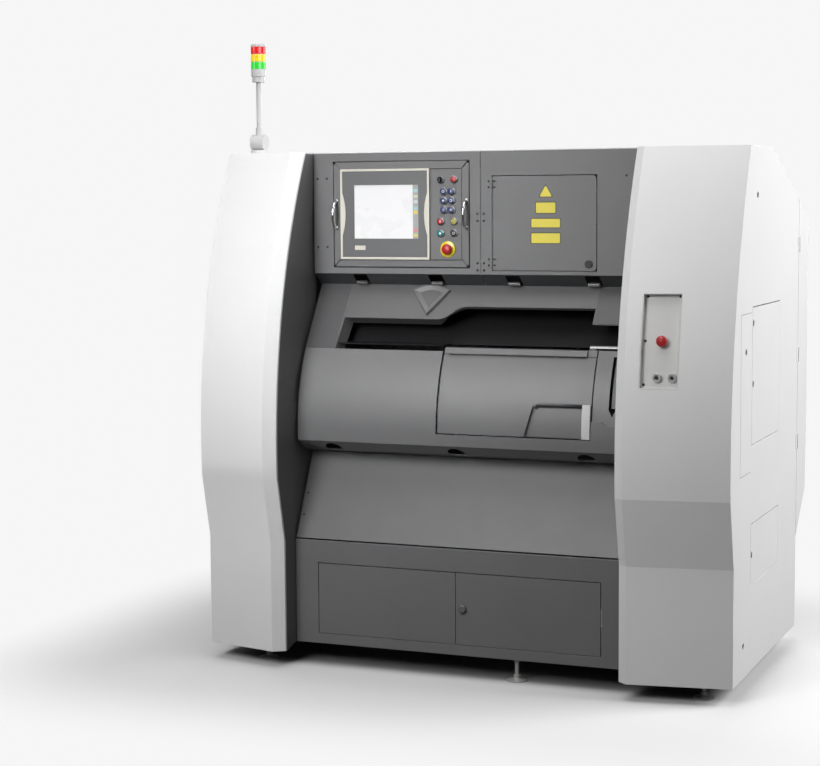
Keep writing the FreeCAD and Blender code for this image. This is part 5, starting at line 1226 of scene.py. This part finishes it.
SIDE_LOCKS = ((-0.2565, 1.814), (-0.4225, 1.254), (-0.4315, 0.188))
SIDE_LATCHES = ((-0.3075, 1.351, "side_upper_leaf"), (-0.3075, 1.130, "side_upper_leaf"),
                (-0.3075, 0.501, "side_lower_leaf"))
HATCH_EDGES = (("top", -0.419, 1.390, 0.0835, 0.0009), ("front", -0.5025, 1.100, 0.0009, 0.290),
               ("foot", -0.419, 0.810, 0.0835, 0.0009))
for index, (y, z) in enumerate(SIDE_LOCKS):
    turned_part(f"side_lock_{index}", (side_x, y, z),
                [(11 * MM, 0), (10.4 * MM, 1.2 * MM), (8.4 * MM, 1.4 * MM), (7.8 * MM, 0.3 * MM),
                 (0, 0.3 * MM)], "right", "zinc_steel", "cabinet", around=32)
    side_bar(f"side_lock_slot_{index}", y, z, 2.6 * MM, 7 * MM, 0.5 * MM, "rubber", "cabinet")
for index, (y, z, body) in enumerate(SIDE_LATCHES):
    side_bar(f"side_latch_{index}", y, z, 6 * MM, 11 * MM, 1.4 * MM, "zinc_cast", body)
    side_bar(f"side_latch_grip_{index}", y, z + 2 * MM, 2.4 * MM, 5 * MM, 2.2 * MM, "rubber",
             body)
for name, y, z, half_y, half_z in HATCH_EDGES:
    side_bar("hatch_line_" + name, y, z, half_y, half_z, 0.12 * MM, "hairline", "cabinet")
print("three side locks, three latches, one hatch outline")

# %% [markdown]
# ## The signal tower
# Each lamp is a coloured cover with fine upright ribs that spread its light. A turned part
# with every other point drawn in makes the ribs.

# %% Ribbed lamps
for colour in ("green", "amber", "red"):
    low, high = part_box("lamp_" + colour)
    x, y, r = (low.x + high.x) / 2, (low.y + high.y) / 2, (high.x - low.x) / 2
    tall = high.z - low.z
    lens = turned_part("lens_" + colour, (x, y, low.z),
                       [(0.005, 0), (r - 1.5 * MM, 0), (r, 1.5 * MM), (r, tall - 1.5 * MM),
                        (r - 1.5 * MM, tall), (0.005, tall)], "up", "lamp_" + colour,
                       "tower_mast", around=96, ribs=0.7 * MM)
    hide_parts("lamp_" + colour)
print("three ribbed lamps")

# %% [markdown]
# ## The back
# Two tall doors cover the back, and three latches beside the middle gap hold them shut. Each
# is a turned cup with a dark paddle in it, and rides on the right-hand door. The doors are
# fullest at belly height and draw in above and below it, so each cup's depth is worked out.

# %% Rear latches
rear_low, rear_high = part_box("rear_door_right")
BELLY_HEIGHT, LEAN_ABOVE, LEAN_BELOW = 0.968, 0.0107, 0.044
LATCH_HEIGHTS, LATCH_INSET = (1.52, 1.12, 0.62), 0.045


def rear_face(z):
    """How far back the rear doors stand at a height, in the frame's y."""
    lean = LEAN_ABOVE if z > BELLY_HEIGHT else LEAN_BELOW
    return rear_high.y - abs(z - BELLY_HEIGHT) * lean


for index, z in enumerate(LATCH_HEIGHTS):
    centre = Vector((rear_low.x + LATCH_INSET, rear_face(z), z))
    turned_part(f"rear_latch_{index}", centre,
                [(17 * MM, -1.0 * MM), (17 * MM, 0.6 * MM), (16.2 * MM, 1.1 * MM),
                 (13.6 * MM, 1.1 * MM), (12.8 * MM, 0.4 * MM), (0, 0.4 * MM)], "back",
                "zinc_steel", "rear_right_leaf", around=40)
    flush_bar(f"rear_latch_paddle_{index}", "back", centre, 4 * MM, 10 * MM, 1.0 * MM, "rubber",
              "rear_right_leaf")
print("three rear latches")
